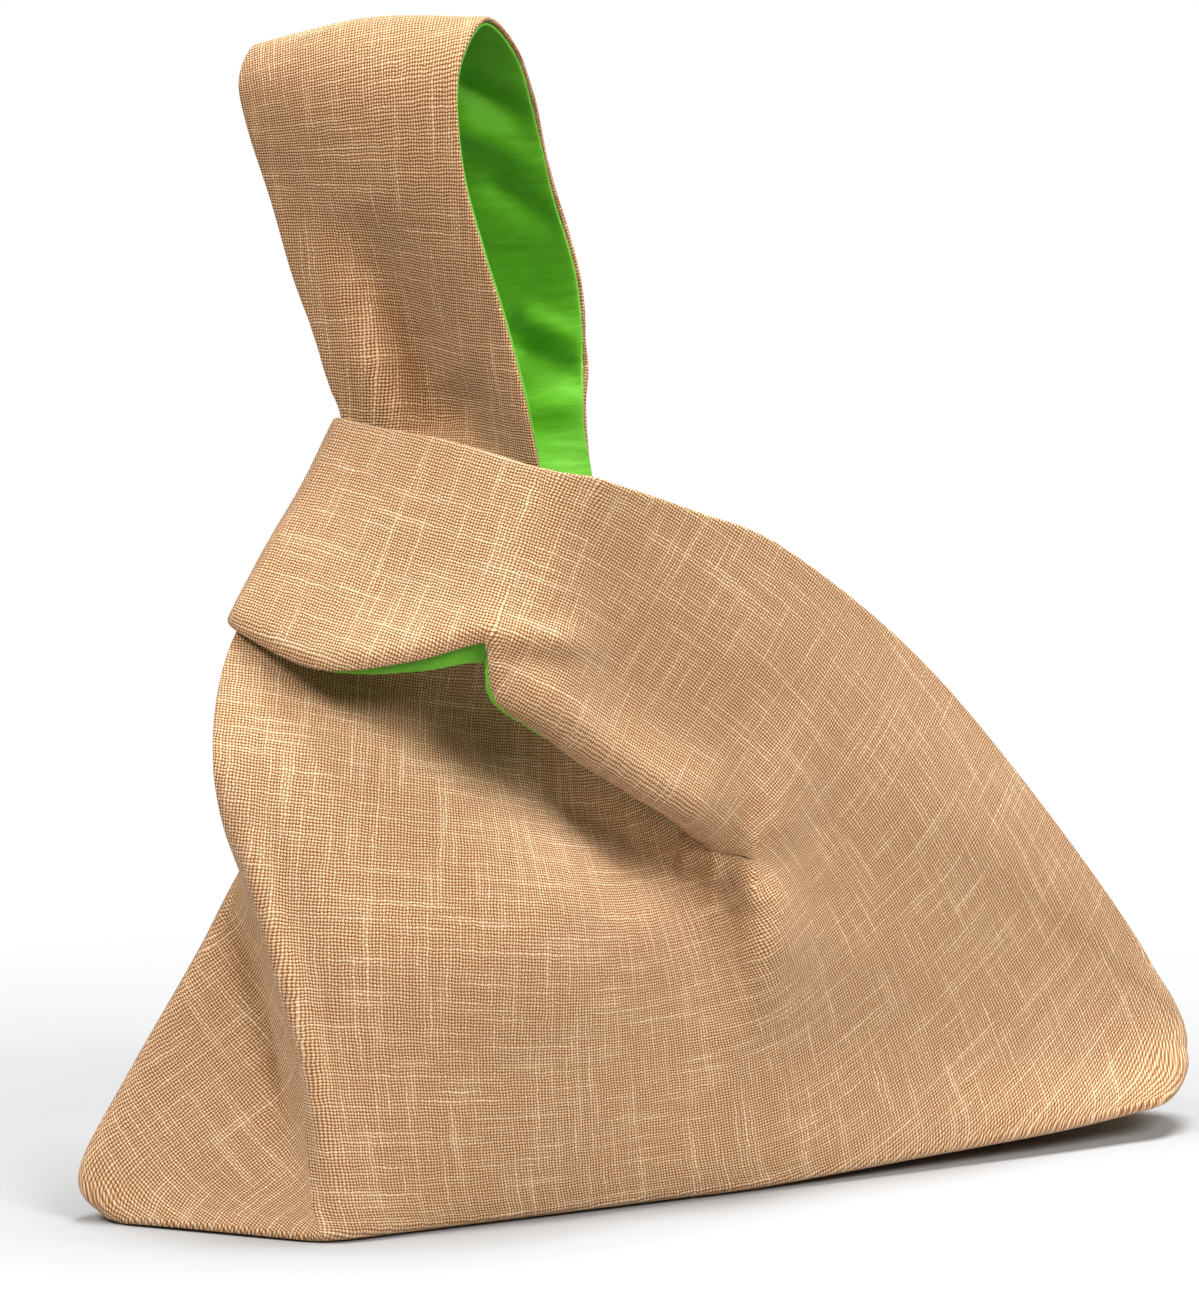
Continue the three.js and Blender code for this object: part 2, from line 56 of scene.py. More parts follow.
FRONT_ROOT_SHARES = [
    [[-0.295, 0.48, 1.75], [0.14, 0.46, 1.77], [0.66, 0.56, 1.78]],
    [[-0.08, 0.65, 2.06], [0.27, 0.55, 2.08], [0.66, 0.47, 2.08]],
]
FRONT_BAND_SHARES = [
    [[-0.31, 0.46, 1.82], [-0.09, 0.29, 1.735], [0.06, 0.21, 1.735], [0.27, 0.16, 1.775],
     [0.45, 0.14, 1.825], [0.495, 0.14, 1.775], [0.52, 0.14, 1.63], [0.65, 0.21, 1.505], [0.84, 0.39, 1.33],
     [1.05, 0.54, 1.17], [1.27, 0.67, 1.045]],
    [[-0.175, 0.55, 2.04], [0.02, 0.39, 1.96], [0.18, 0.33, 1.94], [0.34, 0.26, 1.95], [0.5, 0.21, 1.96],
     [0.55, 0.2, 1.92], [0.61, 0.2, 1.85], [0.72, 0.26, 1.76], [0.84, 0.39, 1.63], [1.06, 0.54, 1.46],
     [1.32, 0.71, 1.32], [1.82, 1.08, 1.14], [2.37, 1.57, 0.64], [2.67, 1.86, 0.27]],
    [[-0.065, 0.65, 2.21], [0.12, 0.49, 2.18], [0.26, 0.4, 2.16], [0.4, 0.33, 2.15], [0.56, 0.27, 2.13],
     [0.62, 0.27, 2.105], [0.68, 0.28, 2.07], [0.76, 0.33, 2.03], [0.84, 0.39, 1.96], [1.06, 0.54, 1.84],
     [1.34, 0.73, 1.67], [1.84, 1.14, 1.33], [2.385, 1.6, 0.71], [2.645, 1.86, 0.305]],
    [[0.025, 0.72, 2.395], [0.2, 0.56, 2.38], [0.34, 0.46, 2.37], [0.47, 0.38, 2.345], [0.6, 0.33, 2.31],
     [0.65, 0.325, 2.3], [0.7, 0.32, 2.29], [0.78, 0.35, 2.275], [0.84, 0.39, 2.25], [1.08, 0.575, 2.14],
     [1.38, 0.81, 1.975], [1.85, 1.22, 1.51], [2.4, 1.63, 0.75], [2.61, 1.84, 0.335]],
]
LONG_STRAP_SHARES = [
    [[0.055, 0.79, 2.36], [0.37, 0.63, 2.4], [0.6, 0.41, 2.44]],
    [[-0.02, 0.84, 2.58], [0.265, 0.69, 2.65], [0.53, 0.44, 2.72]],
    [[-0.11, 0.9, 2.81], [0.17, 0.71, 2.88], [0.46, 0.45, 2.95]],
    [[-0.18, 0.93, 3.05], [0.09, 0.7, 3.12], [0.4, 0.48, 3.18]],
    [[-0.25, 0.94, 3.27], [0.04, 0.71, 3.35], [0.38, 0.52, 3.42]],
    [[-0.275, 0.96, 3.41], [0.05, 0.76, 3.51], [0.41, 0.58, 3.55]],
    [[-0.23, 1.0, 3.5], [0.11, 0.84, 3.595], [0.47, 0.67, 3.615]],
    [[-0.19, 1.05, 3.42], [0.18, 0.93, 3.51], [0.55, 0.77, 3.52]],
    [[-0.14, 1.1, 3.22], [0.23, 0.99, 3.31], [0.6, 0.84, 3.37]],
    [[-0.04, 1.14, 2.95], [0.32, 1.04, 3.03], [0.66, 0.88, 3.1]],
    [[0.06, 1.12, 2.68], [0.41, 1.03, 2.76], [0.74, 0.86, 2.82]],
    [[0.13, 1.06, 2.48], [0.46, 0.96, 2.53], [0.76, 0.8, 2.58]],
    [[0.17, 0.99, 2.34], [0.48, 0.89, 2.37], [0.76, 0.73, 2.4]],
]
# Hidden points: along, back, up, from the same corner and in the bag's own directions.
BACK_PANEL_SHARES = [
    [[-0.395, 0.66, 0.02], [0.08, 0.8, 0.02], [0.62, 0.86, 0.02], [0.95, 0.87, 0.02], [1.25, 0.87, 0.02],
     [1.85, 0.86, 0.05], [2.45, 0.82, 0.08], [2.88, 0.72, 0.12]],
    [[-0.45, 0.73, 0.14], [0.08, 0.86, 0.14], [0.62, 0.92, 0.14], [0.95, 0.93, 0.14], [1.25, 0.92, 0.14],
     [1.85, 0.9, 0.15], [2.45, 0.83, 0.145], [2.92, 0.7, 0.145]],
    [[-0.325, 0.62, 0.45], [0.1, 0.88, 0.45], [0.62, 0.96, 0.45], [0.95, 0.96, 0.45], [1.25, 0.94, 0.44],
     [1.85, 0.9, 0.38], [2.45, 0.8, 0.27], [2.955, 0.67, 0.18]],
    [[-0.12, 0.45, 0.9], [0.2, 0.8, 0.9], [0.66, 0.93, 0.88], [0.97, 0.94, 0.82], [1.25, 0.93, 0.74],
     [1.85, 0.85, 0.63], [2.45, 0.75, 0.42], [2.97, 0.65, 0.22]],
    [[0.24, 0.52, 1.4], [0.48, 0.72, 1.38], [0.8, 0.8, 1.3], [1.02, 0.84, 1.15], [1.25, 0.88, 1.0],
     [1.85, 0.8, 0.86], [2.45, 0.68, 0.54], [2.98, 0.62, 0.25]],
]
BACK_ROOT_SHARES = [
    [[0.29, 0.69, 1.75], [0.62, 0.62, 1.7], [0.98, 0.42, 1.68]],
    [[0.46, 0.72, 2.06], [0.78, 0.46, 2.04], [1.05, 0.15, 2.06]],
]
BACK_BAND_SHARES = [
    [[0.01, 0.555, 1.82], [0.27, 0.82, 1.8], [0.54, 0.93, 1.7], [0.8, 0.95, 1.52], [1.04, 0.9, 1.24],
     [1.25, 0.88, 1.0]],
    [[0.18, 0.585, 2.04], [0.36, 0.8, 1.95], [0.59, 0.9, 1.86], [0.82, 0.91, 1.74], [1.04, 0.9, 1.58],
     [1.28, 0.86, 1.3], [1.88, 0.74, 1.0], [2.46, 0.62, 0.62], [2.98, 0.6, 0.27]],
    [[0.32, 0.6, 2.21], [0.45, 0.76, 2.14], [0.64, 0.84, 2.06], [0.82, 0.88, 1.98], [1.04, 0.9, 1.86],
     [1.32, 0.8, 1.6], [1.92, 0.64, 1.18], [2.48, 0.52, 0.7], [2.98, 0.58, 0.29]],
    [[0.44, 0.605, 2.395], [0.54, 0.74, 2.34], [0.69, 0.83, 2.27], [0.84, 0.87, 2.21], [1.04, 0.9, 2.12],
     [1.4, 0.72, 1.88], [1.98, 0.5, 1.36], [2.52, 0.4, 0.76], [2.97, 0.56, 0.31]],
]

# Columns and rows of these tables: the strap's inner edge, the pleat's notch, the right end, the top rows of
# panel and short strap, the last strap row that shapes the back root, and the strap's ridge. Then the rows at
# which the shell stops on the strap, above the panel, and on the left gusset.
STRAP_COLUMN = 2
NOTCH_COLUMN = 4
PANEL_LAST = 7
PANEL_TOP = 4
BAND_TOP = 3
ROOT_END_ROW = 2
RIDGE_ROW = 6
FRONT_ROOT_ROWS = 2.5
BACK_ROOT_ROWS = 2.2
GUSSET_TOP_ROW = 3.4

# Mesh steps for each column or row of the tables, and from front to back across the gussets and the base.
NET_STEPS = 20
ACROSS_STEPS = 28
GUSSET_ROWS = int(round(GUSSET_TOP_ROW * NET_STEPS)) + 1
# The shell's blocks, grouped by the cloths that they are cut from, and those whose facets are turned round.
CLOTHS = (
    ("back panel", "back root", "back band"),
    ("left gusset",),
    ("front panel", "front root", "front band", "base"),
    ("right gusset",),
)
TURNED = CLOTHS[0] + ("left gusset", "base")

# Edges that roll inwards: how far in the roll starts, and its depth by column, or by row at the side.
NECK_REACH = 13.0
NECK_ROLL = ((0, 0.5), (5, 0.5), (6.5, 3), (7.5, 8), (9.1, 9), (9.6, 5), (10, 0))
EDGE_REACH = 4.0
EDGE_ROLL = ((0, 1.8), (9, 1.8), (9.8, 0))
SIDE_REACH = 11.0
SIDE_ROLL = ((0, 2), (0.5, 5), (1, 7), (3, 7), (3.6, 3), (4, 0))

# Gussets: how far their middles stand out, and how soon the folds begin from their edges.
GUSSET_BULGE = 3.0
BULGE_POWER = 0.7
GUSSET_DISH = 6.0

# Base: how soon it lies flat from its edges, at what height, and how its right end lifts.
BASE_DISH = 12.0
BASE_LEVEL = 1.65
LIFT_END = 8.0
LIFT_CURVE = 1.1

# Where the lining shows below the short strap's edge: strap column, shift to the right, shift up. Then the
# rows over which it fades, and how far back it leans.
LINING_LIP = (
    (0.8, 0, 0), (2, 0, -2), (3, 0, -4.6), (4, -0.5, -7), (5, -2.2, -4.5),
    (6, -2.6, -1), (7, -2.2, -1.4), (8, 0, 0),
)
LIP_ROWS = 0.5
LIP_DEPTH = 0.7

# Long strap: where its left edge stands out just above the short strap (row, shift to the right), and how
# near to its edges the creases behind reach.
HANDLE_HIP = ((0.2, 0), (0.6, -2), (1, -2.6), (1.5, -0.8), (2, 0))
CREASE_POWER = 4

# Softening of folds and seams, the pleat's tip and the right end: reach and number of passes. It fades from
# full to none as the distance in reaches goes from SOFT_END - 1 to SOFT_END. A pass moves a point at most
# SOFT_PACE of the way to its neighbours' middle.
FOLD_SOFT = (6.0, 14)
TIP_SOFT = (9.0, 30)
END_SOFT = (9.0, 50)
SOFT_END = 1.2
SOFT_PACE = 0.5
NEAREST_AT_ONCE = 40
# The pleat's tip, in columns past the notch.
TIP_SPAN = (0.0, 1.2)
# The right end is drawn out: between which pixels that begins and is full, and how far it goes.
END_SPAN = (1105.0, 1180.0)
END_PUSH = 3.6

# The point where the handle folds, with the reach of the fold below and above it. The fold's ends are worked
# out from them, but nothing uses them.
FOLD_POINT_SHARE = (0.37, 0.77, 2.52)
FOLD_HALF = (0.0, 0.0, 14.0)

SHELL_PARTS = (
    "front_panel", "back_panel", "short_loop_front", "short_loop_back",
    "left_gusset", "right_gusset", "base",
)
HANDLE_PARTS = ("handle_front", "handle_back")
# Pieces: name, slot, the layer and the parts of the bag that each stands for, then its cloth as it was cut:
# flat width and length in metres, and area in square metres.
PIECES = (
    ("shell", "linen", "outer", SHELL_PARTS, (0.46, 0.62), 0.162),
    ("shell_lining", "lining", "lining", SHELL_PARTS, (0.45, 0.61), 0.158),
    ("handle", "handle_linen", "outer", HANDLE_PARTS, (0.08, 0.32), 0.0245),
    ("handle_lining", "lining", "lining", HANDLE_PARTS, (0.079, 0.32), 0.024),
)

# Folds: the layers that they show on, their width in pixels, and points along them: pixel x and y, height.
FOLD_LINES = (
    ("panel", 34, ((736, 866, 0), (728, 910, -6), (722, 965, -4), (715, 1040, 0))),
    ("panel", 58, (
        (275, 645, 0), (345, 680, -8), (420, 700, -11), (480, 725, -13), (520, 770, -15),
        (570, 825, -17), (625, 868, -15), (675, 890, -10), (715, 890, 0),
    )),
    ("panel", 26, ((560, 805, -3), (620, 848, -6), (680, 878, -6), (715, 885, -3), (735, 880, 0))),
    ("panel, band", 22, ((754, 850, 0), (759, 900, 2), (764, 950, 2.5), (770, 1020, 0))),
    ("panel", 20, (
        (230, 700, 0), (236, 830, 3), (258, 900, 5), (284, 980, 6), (308, 1070, 5),
        (326, 1160, 3), (338, 1235, 0),
    )),
    ("gusset", 22, ((240, 900, -2), (262, 980, -6), (285, 1060, -7), (306, 1140, -6), (322, 1225, 0))),
    ("band", 40, (
        (505, 680, 1), (545, 705, 5), (595, 750, 9), (645, 785, 10), (690, 808, 8),
        (726, 832, 0),
    )),
    ("panel, band", 32, ((790, 700, 0), (776, 800, 5), (772, 880, 8), (774, 950, 6), (784, 1040, 0))),
    ("band", 16, ((500, 634, 2), (560, 640, 2.5), (620, 652, 0))),
    ("handle", 32, ((365, 200, 0), (390, 270, -6), (418, 340, -10), (440, 420, -11))),
    ("handle", 28, ((310, 220, 0), (345, 300, 4), (368, 360, 5), (380, 400, 4))),
    ("back leg", 15, ((465, 82, -5), (520, 108, -5))),
    ("back leg", 15, ((465, 130, 3), (535, 158, 3))),
    ("back leg", 15, ((500, 185, -3), (560, 222, -3))),
    ("back leg", 12, ((530, 318, 3), (585, 340, 3))),
    ("back leg", 14, ((530, 352, -4), (588, 372, -4))),
    ("back leg", 16, ((530, 410, 3), (590, 400, 3))),
    ("back leg", 50, ((500, 485, 10), (610, 485, 10))),
    ("handle", 26, ((452, 370, 0), (472, 405, -5), (486, 440, -6))),
)

# Thread directions as the photograph shows them: pixel x, pixel y, weft angle, warp angle in degrees.
TIP_THREADS = ((800, 870, 46, 122),)
RIGHT_THREADS = ((900, 1050, 40, 117), (1050, 1000, 48, 125), (850, 700, 60, 128))
PANEL_THREADS = (
    (330, 1150, 0, 90), (700, 1130, 4, 92), (500, 950, -6, 80), (300, 750, -6, 72),
) + RIGHT_THREADS + TIP_THREADS
BAND_THREADS = TIP_THREADS + RIGHT_THREADS + (
    (700, 600, 66, 145), (620, 740, 62, 142), (500, 570, 71, 165), (340, 540, 70, 160),
)
HANDLE_THREADS = (
    (300, 60, 10, 96), (330, 200, -2, 97), (430, 200, -3, 95), (400, 330, -5, 99), (450, 430, -8, 96),
)
# How far a sample counts, in pixels, and how little it stands out at its own place.
THREAD_REACH = 130.0
THREAD_BLEND = 0.02
# The slant of the left gusset's threads, the base's directions to the right and up, and one thread's width.
GUSSET_BIAS = math.radians(45.0)
BASE_WAYS = (np.array([1.0, 0.0, 0.0]), np.array([0.0, -1.0, 0.0]))
THREAD_PITCH = 0.95
# The least slant at which a cloth's threads are laid as they look, and the rounds that even threads out.
GRAZING = 0.4
CALM_PASSES = 30
SPREAD_ROUNDS = 900
SPREAD_NEAR = 1e-4
SPREAD_FLOOR = 1e-12

# Colours as the screen shows them: light and dark threads, painted shade in the gaps between them, and slubs.
BAG_LINEN = ((247, 215, 176), (224, 182, 134), (142, 84, 30), (250, 226, 190))
# The handle's linen is the bag's linen painted darker: painted shade for the handle's faces that get less
# light.
SHADED_HANDLE_LINEN = ((240, 198, 152), (212, 166, 118), (122, 70, 26), (244, 214, 174))
LINING_GREEN = ((120, 204, 46), (84, 166, 24))

# Noises: their middle value, then the scale, detail and roughness of each.
NOISE_MIDDLE = 0.5
WANDER_NOISE = (0.16, 2.0, 0.5)
RIPPLE_NOISE = (0.55, 1.0, 0.5)
SLUB_NOISE = (1.0, 1.0, 0.5)
FIBRE_NOISE = (2.6, 3.0, 0.7)
LINEN_CLOUD = (16.0, 3.0, 0.6)
SATIN_CLOUD = (22.0, 3.0, 0.6)
STREAK_NOISE = (1.0, 3.0, 0.6)
CREASE_NOISE = (1.0, 2.0, 0.5)
# Numbers that only set one thread's or one layer's noise apart from another's.
WEFT_PLANE, FIBRE_PLANE = 7.0, 3.0
WARP_SEED, WEFT_SEED, TONE_SEED = 3.7, 5.3, 0.37
# Weave, in threads: how far threads wander and ripple, and how high they stand.
THREAD_LAYER = "threads"
WANDER = 1.2
RIPPLE = 0.35
THREAD_HEIGHT = 0.5
# Slubs: their height, how slowly they change along a thread, the noise that makes one, and their colour's
# share.
SLUB_HEIGHT = 0.3
SLUB_PACE = 0.035
SLUB_RANGE = (0.54, 0.74)
SLUB_SHARE = 0.23
# Tone of the linen from its threads, fibres and clouds, and of the satin from its streaks and clouds: the
# share of each, and the sums that give the dark and the light colour. Then the heights over which the gaps'
# painted shade fades into the threads' colour.
LINEN_SHARES = (0.3, 0.5, 0.3)
LINEN_TONE = (0.2, 0.9)
SATIN_SHARES = (0.5, 0.5)
SATIN_TONE = (0.3, 0.7)
GAP_SHADE_HEIGHT = (0.34, 0.84)
# Satin: how fine its threads are, how streaks and creases run across and along them, and their heights.
SATIN_THREADS = 14.0
STREAK_PACE = (0.15, 2.2)
CREASE_PACE = (0.03, 0.11)
SATIN_HEIGHTS = (0.05, 3.0)
# Relief: the height of the linen's fibres, and each bump's strength and depth in metres.
FUZZ = 0.25
LINEN_BUMP = (0.75, 0.0006)
SATIN_BUMP = (0.6, 0.0012)
# Roughness of each cloth over this range of its noise, and its gloss and sheen.
ROUGH_NOISE = (0.2, 0.8)
LINEN_ROUGH = (0.78, 0.95)
SATIN_ROUGH = (0.36, 0.5)
LINEN_SHEEN = {"Specular IOR Level": 0.22, "Sheen Weight": 0.12, "Sheen Roughness": 0.55}
SATIN_SHEEN = {"Specular IOR Level": 0.3, "Sheen Weight": 0.1, "Sheen Roughness": 0.4}

# Lamps: name, place to the right, away and up as seen, power, size. Then what they point at, in metres.
LAMPS = (
    ("key", -1300, -900, 1950, 47, 0.8),
    ("fill", 1300, -1500, 1600, 50, 1.2),
    ("top", 400, 300, 2300, 72, 1),
)
LAMP_TARGET = (0.0, 0.0, 0.15)
ROOM_LIGHT = 0.2
ROOM_COLOUR = (1.0, 0.84, 0.64, 1.0)
WHITE = (1.0, 1.0, 1.0, 1.0)
# Floor: its colour, where it fades out and how far it reaches, in metres.
FLOOR_COLOUR = (0.41, 0.42, 0.43, 1.0)
FLOOR_FADE = (0.2, 0.42)
FLOOR_SIZE = 1.0


def unit(vectors):
    return vectors / np.maximum(np.linalg.norm(vectors, axis=-1, keepdims=True), TINY)


def seen_to_bag(points):
    """Points measured right, away and up as seen, turned into the bag's own frame."""
    points = np.asarray(points, float)
    right, away, up = points[..., 0], points[..., 1], points[..., 2]
    along = right * math.cos(BASE_SKEW) + away * math.sin(BASE_SKEW) - BASE_MID[0]
    back = away * math.cos(BASE_SKEW) - right * math.sin(BASE_SKEW) - BASE_MID[1]
    return np.stack([along, back, up], -1)


def seen(shares):
    return seen_to_bag(np.asarray(shares, float) * PATTERN_SQUARE)


def laid(shares):
    return np.asarray(shares, float) * PATTERN_SQUARE - np.array([*BASE_MID, 0.0])


ORIGIN = seen_to_bag([0.0, 0.0, 0.0])
RIGHT = seen_to_bag([1.0, 0.0, 0.0]) - ORIGIN
CAMERA_UP = seen_to_bag([0.0, math.sin(CAMERA_RISE), math.cos(CAMERA_RISE)]) - ORIGIN
CAMERA_LOOK = seen_to_bag([0.0, math.cos(CAMERA_RISE), -math.sin(CAMERA_RISE)]) - ORIGIN
# The middle of the picture, in pixels and in millimetres from the near corner.
IMAGE_MIDDLE = np.array(IMAGE_SIZE) / 2
AXIS_RIGHT = (IMAGE_MIDDLE[0] - NEAR_CORNER_PIXEL[0]) * PIXEL
AXIS_UP = (NEAR_CORNER_PIXEL[1] - IMAGE_MIDDLE[1]) * PIXEL
FOLD_START = tuple((seen(FOLD_POINT_SHARE) - np.array(FOLD_HALF)) * MM)
FOLD_END = tuple((seen(FOLD_POINT_SHARE) + np.array(FOLD_HALF)) * MM)


def to_pixels(points):
    """Where points in the bag frame show in the photograph."""
    away = points - ORIGIN
    right, up, deep = away @ RIGHT, away @ CAMERA_UP, away @ CAMERA_LOOK
    scale = CAMERA_DISTANCE / (CAMERA_DISTANCE + deep)
    x = IMAGE_MIDDLE[0] + (right - AXIS_RIGHT) * scale / PIXEL
    y = IMAGE_MIDDLE[1] - (up - AXIS_UP) * scale / PIXEL
    return np.stack([x, y], -1)


def through(points, places):
    """A smooth curve through points (first axis), read at several places."""
    points, places = np.asarray(points, float), np.asarray(places, float)
    index = np.clip(np.floor(places).astype(int), 0, len(points) - 2)
    share = (places - index).reshape((-1,) + (1,) * (points.ndim - 1))
    padded = np.concatenate([2 * points[:1] - points[1:2], points, 2 * points[-1:] - points[-2:-1]])
    before, start, end, after = (padded[index + step] for step in range(4))
    squared, cubed = share * share, share * share * share
    return (
        before * (2 * squared - cubed - share)
        + start * (3 * cubed - 5 * squared + 2)
        + end * (share + 4 * squared - 3 * cubed)
        + after * (cubed - squared)
    ) / 2


def positions(start, end, steps=NET_STEPS):
    count = int(round((end - start) * steps))
    return start + (end - start) * np.arange(count + 1) / count


ACROSS = positions(0, 1, ACROSS_STEPS)


def read(table, places):
    """Values of a table of places and values, at places in between."""
    return np.interp(places, *np.array(table).T)


class Sheet:
    """Points and four-sided facets of a cloth's middle surface."""

    def __init__(self, points, facets):
        self.points, self.facets = points, facets

    def walked(self):
        """Each facet's four edges, in the order that the facet walks them."""
        return np.concatenate([self.facets[:, [k, (k + 1) % 4]] for k in range(4)])

    def edges(self):
        """Every edge once."""
        return np.unique(np.sort(self.walked(), axis=1), axis=0)

    def open_edges(self):
        """Edges that belong to one facet only, as that facet walks them."""
        known = {}
        for start, end in self.walked().tolist():
            if (end, start) in known:
                del known[(end, start)]
            else:
                known[(start, end)] = True
        return np.array(list(known), int)

    def normals(self):
        a, b, c, d = (self.points[self.facets[:, k]] for k in range(4))
        facing = unit(np.cross(c - a, d - b))
        total = np.zeros_like(self.points)
        for k in range(4):
            np.add.at(total, self.facets[:, k], facing)
        return unit(total)


def grid(block, turned=False):
    """A sheet from a block of points: rows, columns, xyz."""
    rows, columns = block.shape[:2]
    corner = (np.arange(rows - 1)[:, None] * columns + np.arange(columns - 1)[None, :]).ravel()
    facets = np.stack([corner, corner + 1, corner + columns + 1, corner + columns], 1)
    return Sheet(block.reshape(-1, 3), facets[:, ::-1] if turned else facets)


def joined(sheets, values=None):
    """Sheets that share an edge become one sheet. Values that go with the points are kept."""
    points = np.concatenate([sheet.points for sheet in sheets])
    starts = np.cumsum([0] + [len(sheet.points) for sheet in sheets[:-1]])
    facets = np.concatenate([sheet.facets + start for sheet, start in zip(sheets, starts)])
    keys = np.round(points / WELD).astype(np.int64)
    _, first, place = np.unique(keys, axis=0, return_index=True, return_inverse=True)
    sheet = Sheet(points[first], place.reshape(-1)[facets])
    return sheet if values is None else (sheet, values[first])


class Side:
    """One panel with its long strap's root and its short strap, as nets of smooth rows."""

    def __init__(self, panel, root, band, strap):
        self.panel, self.root, self.band, self.strap = panel, root, band, strap
        self.notch = len(band[0]) - 1

    def seam_row(self, row, columns, notch):
        """A row up to the notch, and then the seam that the panel and the short strap share."""
        near = through(row, columns)
        far = through(self.panel[PANEL_TOP][NOTCH_COLUMN:], np.maximum(columns - notch, 0))
        return np.where((columns > notch)[:, None], far, near)

    def panel_row(self, row, columns):
        if row < PANEL_TOP:
            return through(self.panel[row], columns)
        return self.seam_row(self.panel[row][: NOTCH_COLUMN + 1], columns, NOTCH_COLUMN)

    def band_row(self, row, columns):
        if row > 0:
            return through(self.band[row], columns)
        return self.seam_row(self.band[row], columns, self.notch)

    def panel_at(self, columns, rows):
        """The panel and what is sewn on above it: the long strap at the left, the short one at the right."""
        block = np.zeros((len(rows), len(columns), 3))
        left, right = columns <= STRAP_COLUMN, columns >= NOTCH_COLUMN
        for which in (left, right, ~left & ~right):
            if which.any():
                block[:, which] = through(np.stack(self.panel_stack(columns[which])), rows)
        return block

    def panel_stack(self, columns):
        stack = [self.panel_row(row, columns) for row in range(len(self.panel))]
        if columns.max() <= STRAP_COLUMN:
            stack += [through(row, columns) for row in self.root + self.strap]
        if columns.min() >= NOTCH_COLUMN:
            past = columns - NOTCH_COLUMN + self.notch
            stack += [self.band_row(row, past) for row in range(1, len(self.band))]
        return stack

    def band_at(self, columns, rows):
        """The short strap: free at the left of the notch, and the panel goes on into it at the right."""
        block = np.zeros((len(rows), len(columns), 3))
        free = columns < self.notch
        stack = [self.band_row(row, columns[free]) for row in range(len(self.band))]
        block[:, free] = through(np.stack(stack), rows)
        some = columns[~free]
        stack = [self.panel_row(row, some - self.notch + NOTCH_COLUMN) for row in range(PANEL_TOP)]
        stack += [self.band_row(row, some) for row in range(len(self.band))]
        block[:, ~free] = through(np.stack(stack), rows + PANEL_TOP)
        return block

    def body(self, root_rows):
        """The panel and its strap's root, as blocks of points."""
        left = positions(0, STRAP_COLUMN)
        middle = positions(STRAP_COLUMN, NOTCH_COLUMN)
        right = positions(NOTCH_COLUMN, PANEL_LAST)
        across = np.concatenate([left, middle[1:], right[1:]])
        panel = self.panel_at(across, positions(0, PANEL_TOP))
        return panel, self.panel_at(left, positions(PANEL_TOP, PANEL_TOP + root_rows))

    def band_columns(self):
        past = positions(NOTCH_COLUMN, PANEL_LAST) - NOTCH_COLUMN + self.notch
        return np.concatenate([positions(0, self.notch)[:-1], past])


def net(rows, place):
    return [place(row) for row in rows]


FRONT_STRAP = net(LONG_STRAP_SHARES, seen)
FRONT_ROOT = net(FRONT_ROOT_SHARES, seen)
BACK_ROOT = net(BACK_ROOT_SHARES, laid)
FRONT = Side(
    net(FRONT_PANEL_SHARES, seen), FRONT_ROOT, net(FRONT_BAND_SHARES, seen), FRONT_STRAP + BACK_ROOT[::-1]
)
BACK = Side(
    net(BACK_PANEL_SHARES, laid), BACK_ROOT, net(BACK_BAND_SHARES, laid),
    FRONT_STRAP[::-1][: ROOT_END_ROW + 1],
)
# The row of the long strap's ridge, counted from the front panel's foot.
RIDGE_AT = len(FRONT.panel) + len(FRONT_ROOT) + RIDGE_ROW


def block_normals(block):
    return unit(np.cross(np.gradient(block, axis=1), np.gradient(block, axis=0)))


def rolled(block, axis, reach, depth):
    """Bends the first edge of a block inwards. depth holds one value for each line that reaches the edge."""
    steps = np.linalg.norm(np.diff(block, axis=axis), axis=2)
    first = np.zeros_like(np.take(steps, [0], axis))
    distance = np.concatenate([first, np.cumsum(steps, axis)], axis)
    near = np.clip(1 - distance / reach, 0, 1) ** 2
    return block - block_normals(block) * (near * np.expand_dims(depth, axis))[..., None]


def relief(block, layer):
    """Raises and sinks the cloth along the lines of the folds that the photograph shows."""
    pixels = to_pixels(block)
    lift = np.zeros(block.shape[:2])
    for layers, width, line in FOLD_LINES:
        if layer not in layers:
            continue
        line = np.array(line, float)
        best = np.full(lift.shape, np.inf)
        height = np.zeros(lift.shape)
        for start, end in zip(line[:-1], line[1:]):
            along = end[:2] - start[:2]
            share = np.clip(((pixels - start[:2]) @ along) / (along @ along), 0, 1)
            away = np.linalg.norm(pixels - start[:2] - share[..., None] * along, axis=2)
            closer = away < best
            best = np.where(closer, away, best)
            height = np.where(closer, start[2] + share * (end[2] - start[2]), height)
        lift += height * np.exp(-((best / width) ** 2))
    return block - CAMERA_LOOK * lift[..., None]


def band_blocks(is_lining):
    """The two halves of the short strap, each from the left fold to the right corner."""
    up = positions(0, BAND_TOP)
    columns = FRONT.band_columns()
    front = relief(FRONT.band_at(columns, up), "band")
    back = BACK.band_at(BACK.band_columns(), up)
    front = rolled(front, 0, NECK_REACH, read(NECK_ROLL, columns))
    front = rolled(front, 0, EDGE_REACH, read(EDGE_ROLL, columns))
    if is_lining:
        front = front + lining_lip(columns, up)
    front[:, :1] = back[:, :1] = (front[:, :1] + back[:, :1]) / 2
    return front, back


def lining_lip(columns, rows):
    """How far the lining hangs out below the short strap's arched edge."""
    places, right, up = np.array(LINING_LIP).T
    right = np.interp(columns, places, right)[:, None]
    up = np.interp(columns, places, up)[:, None]
    near = np.clip(1 - rows / LIP_ROWS, 0, 1)[:, None, None]
    return near * (right * RIGHT + up * CAMERA_UP + np.hypot(right, up) * LIP_DEPTH * CAMERA_LOOK)


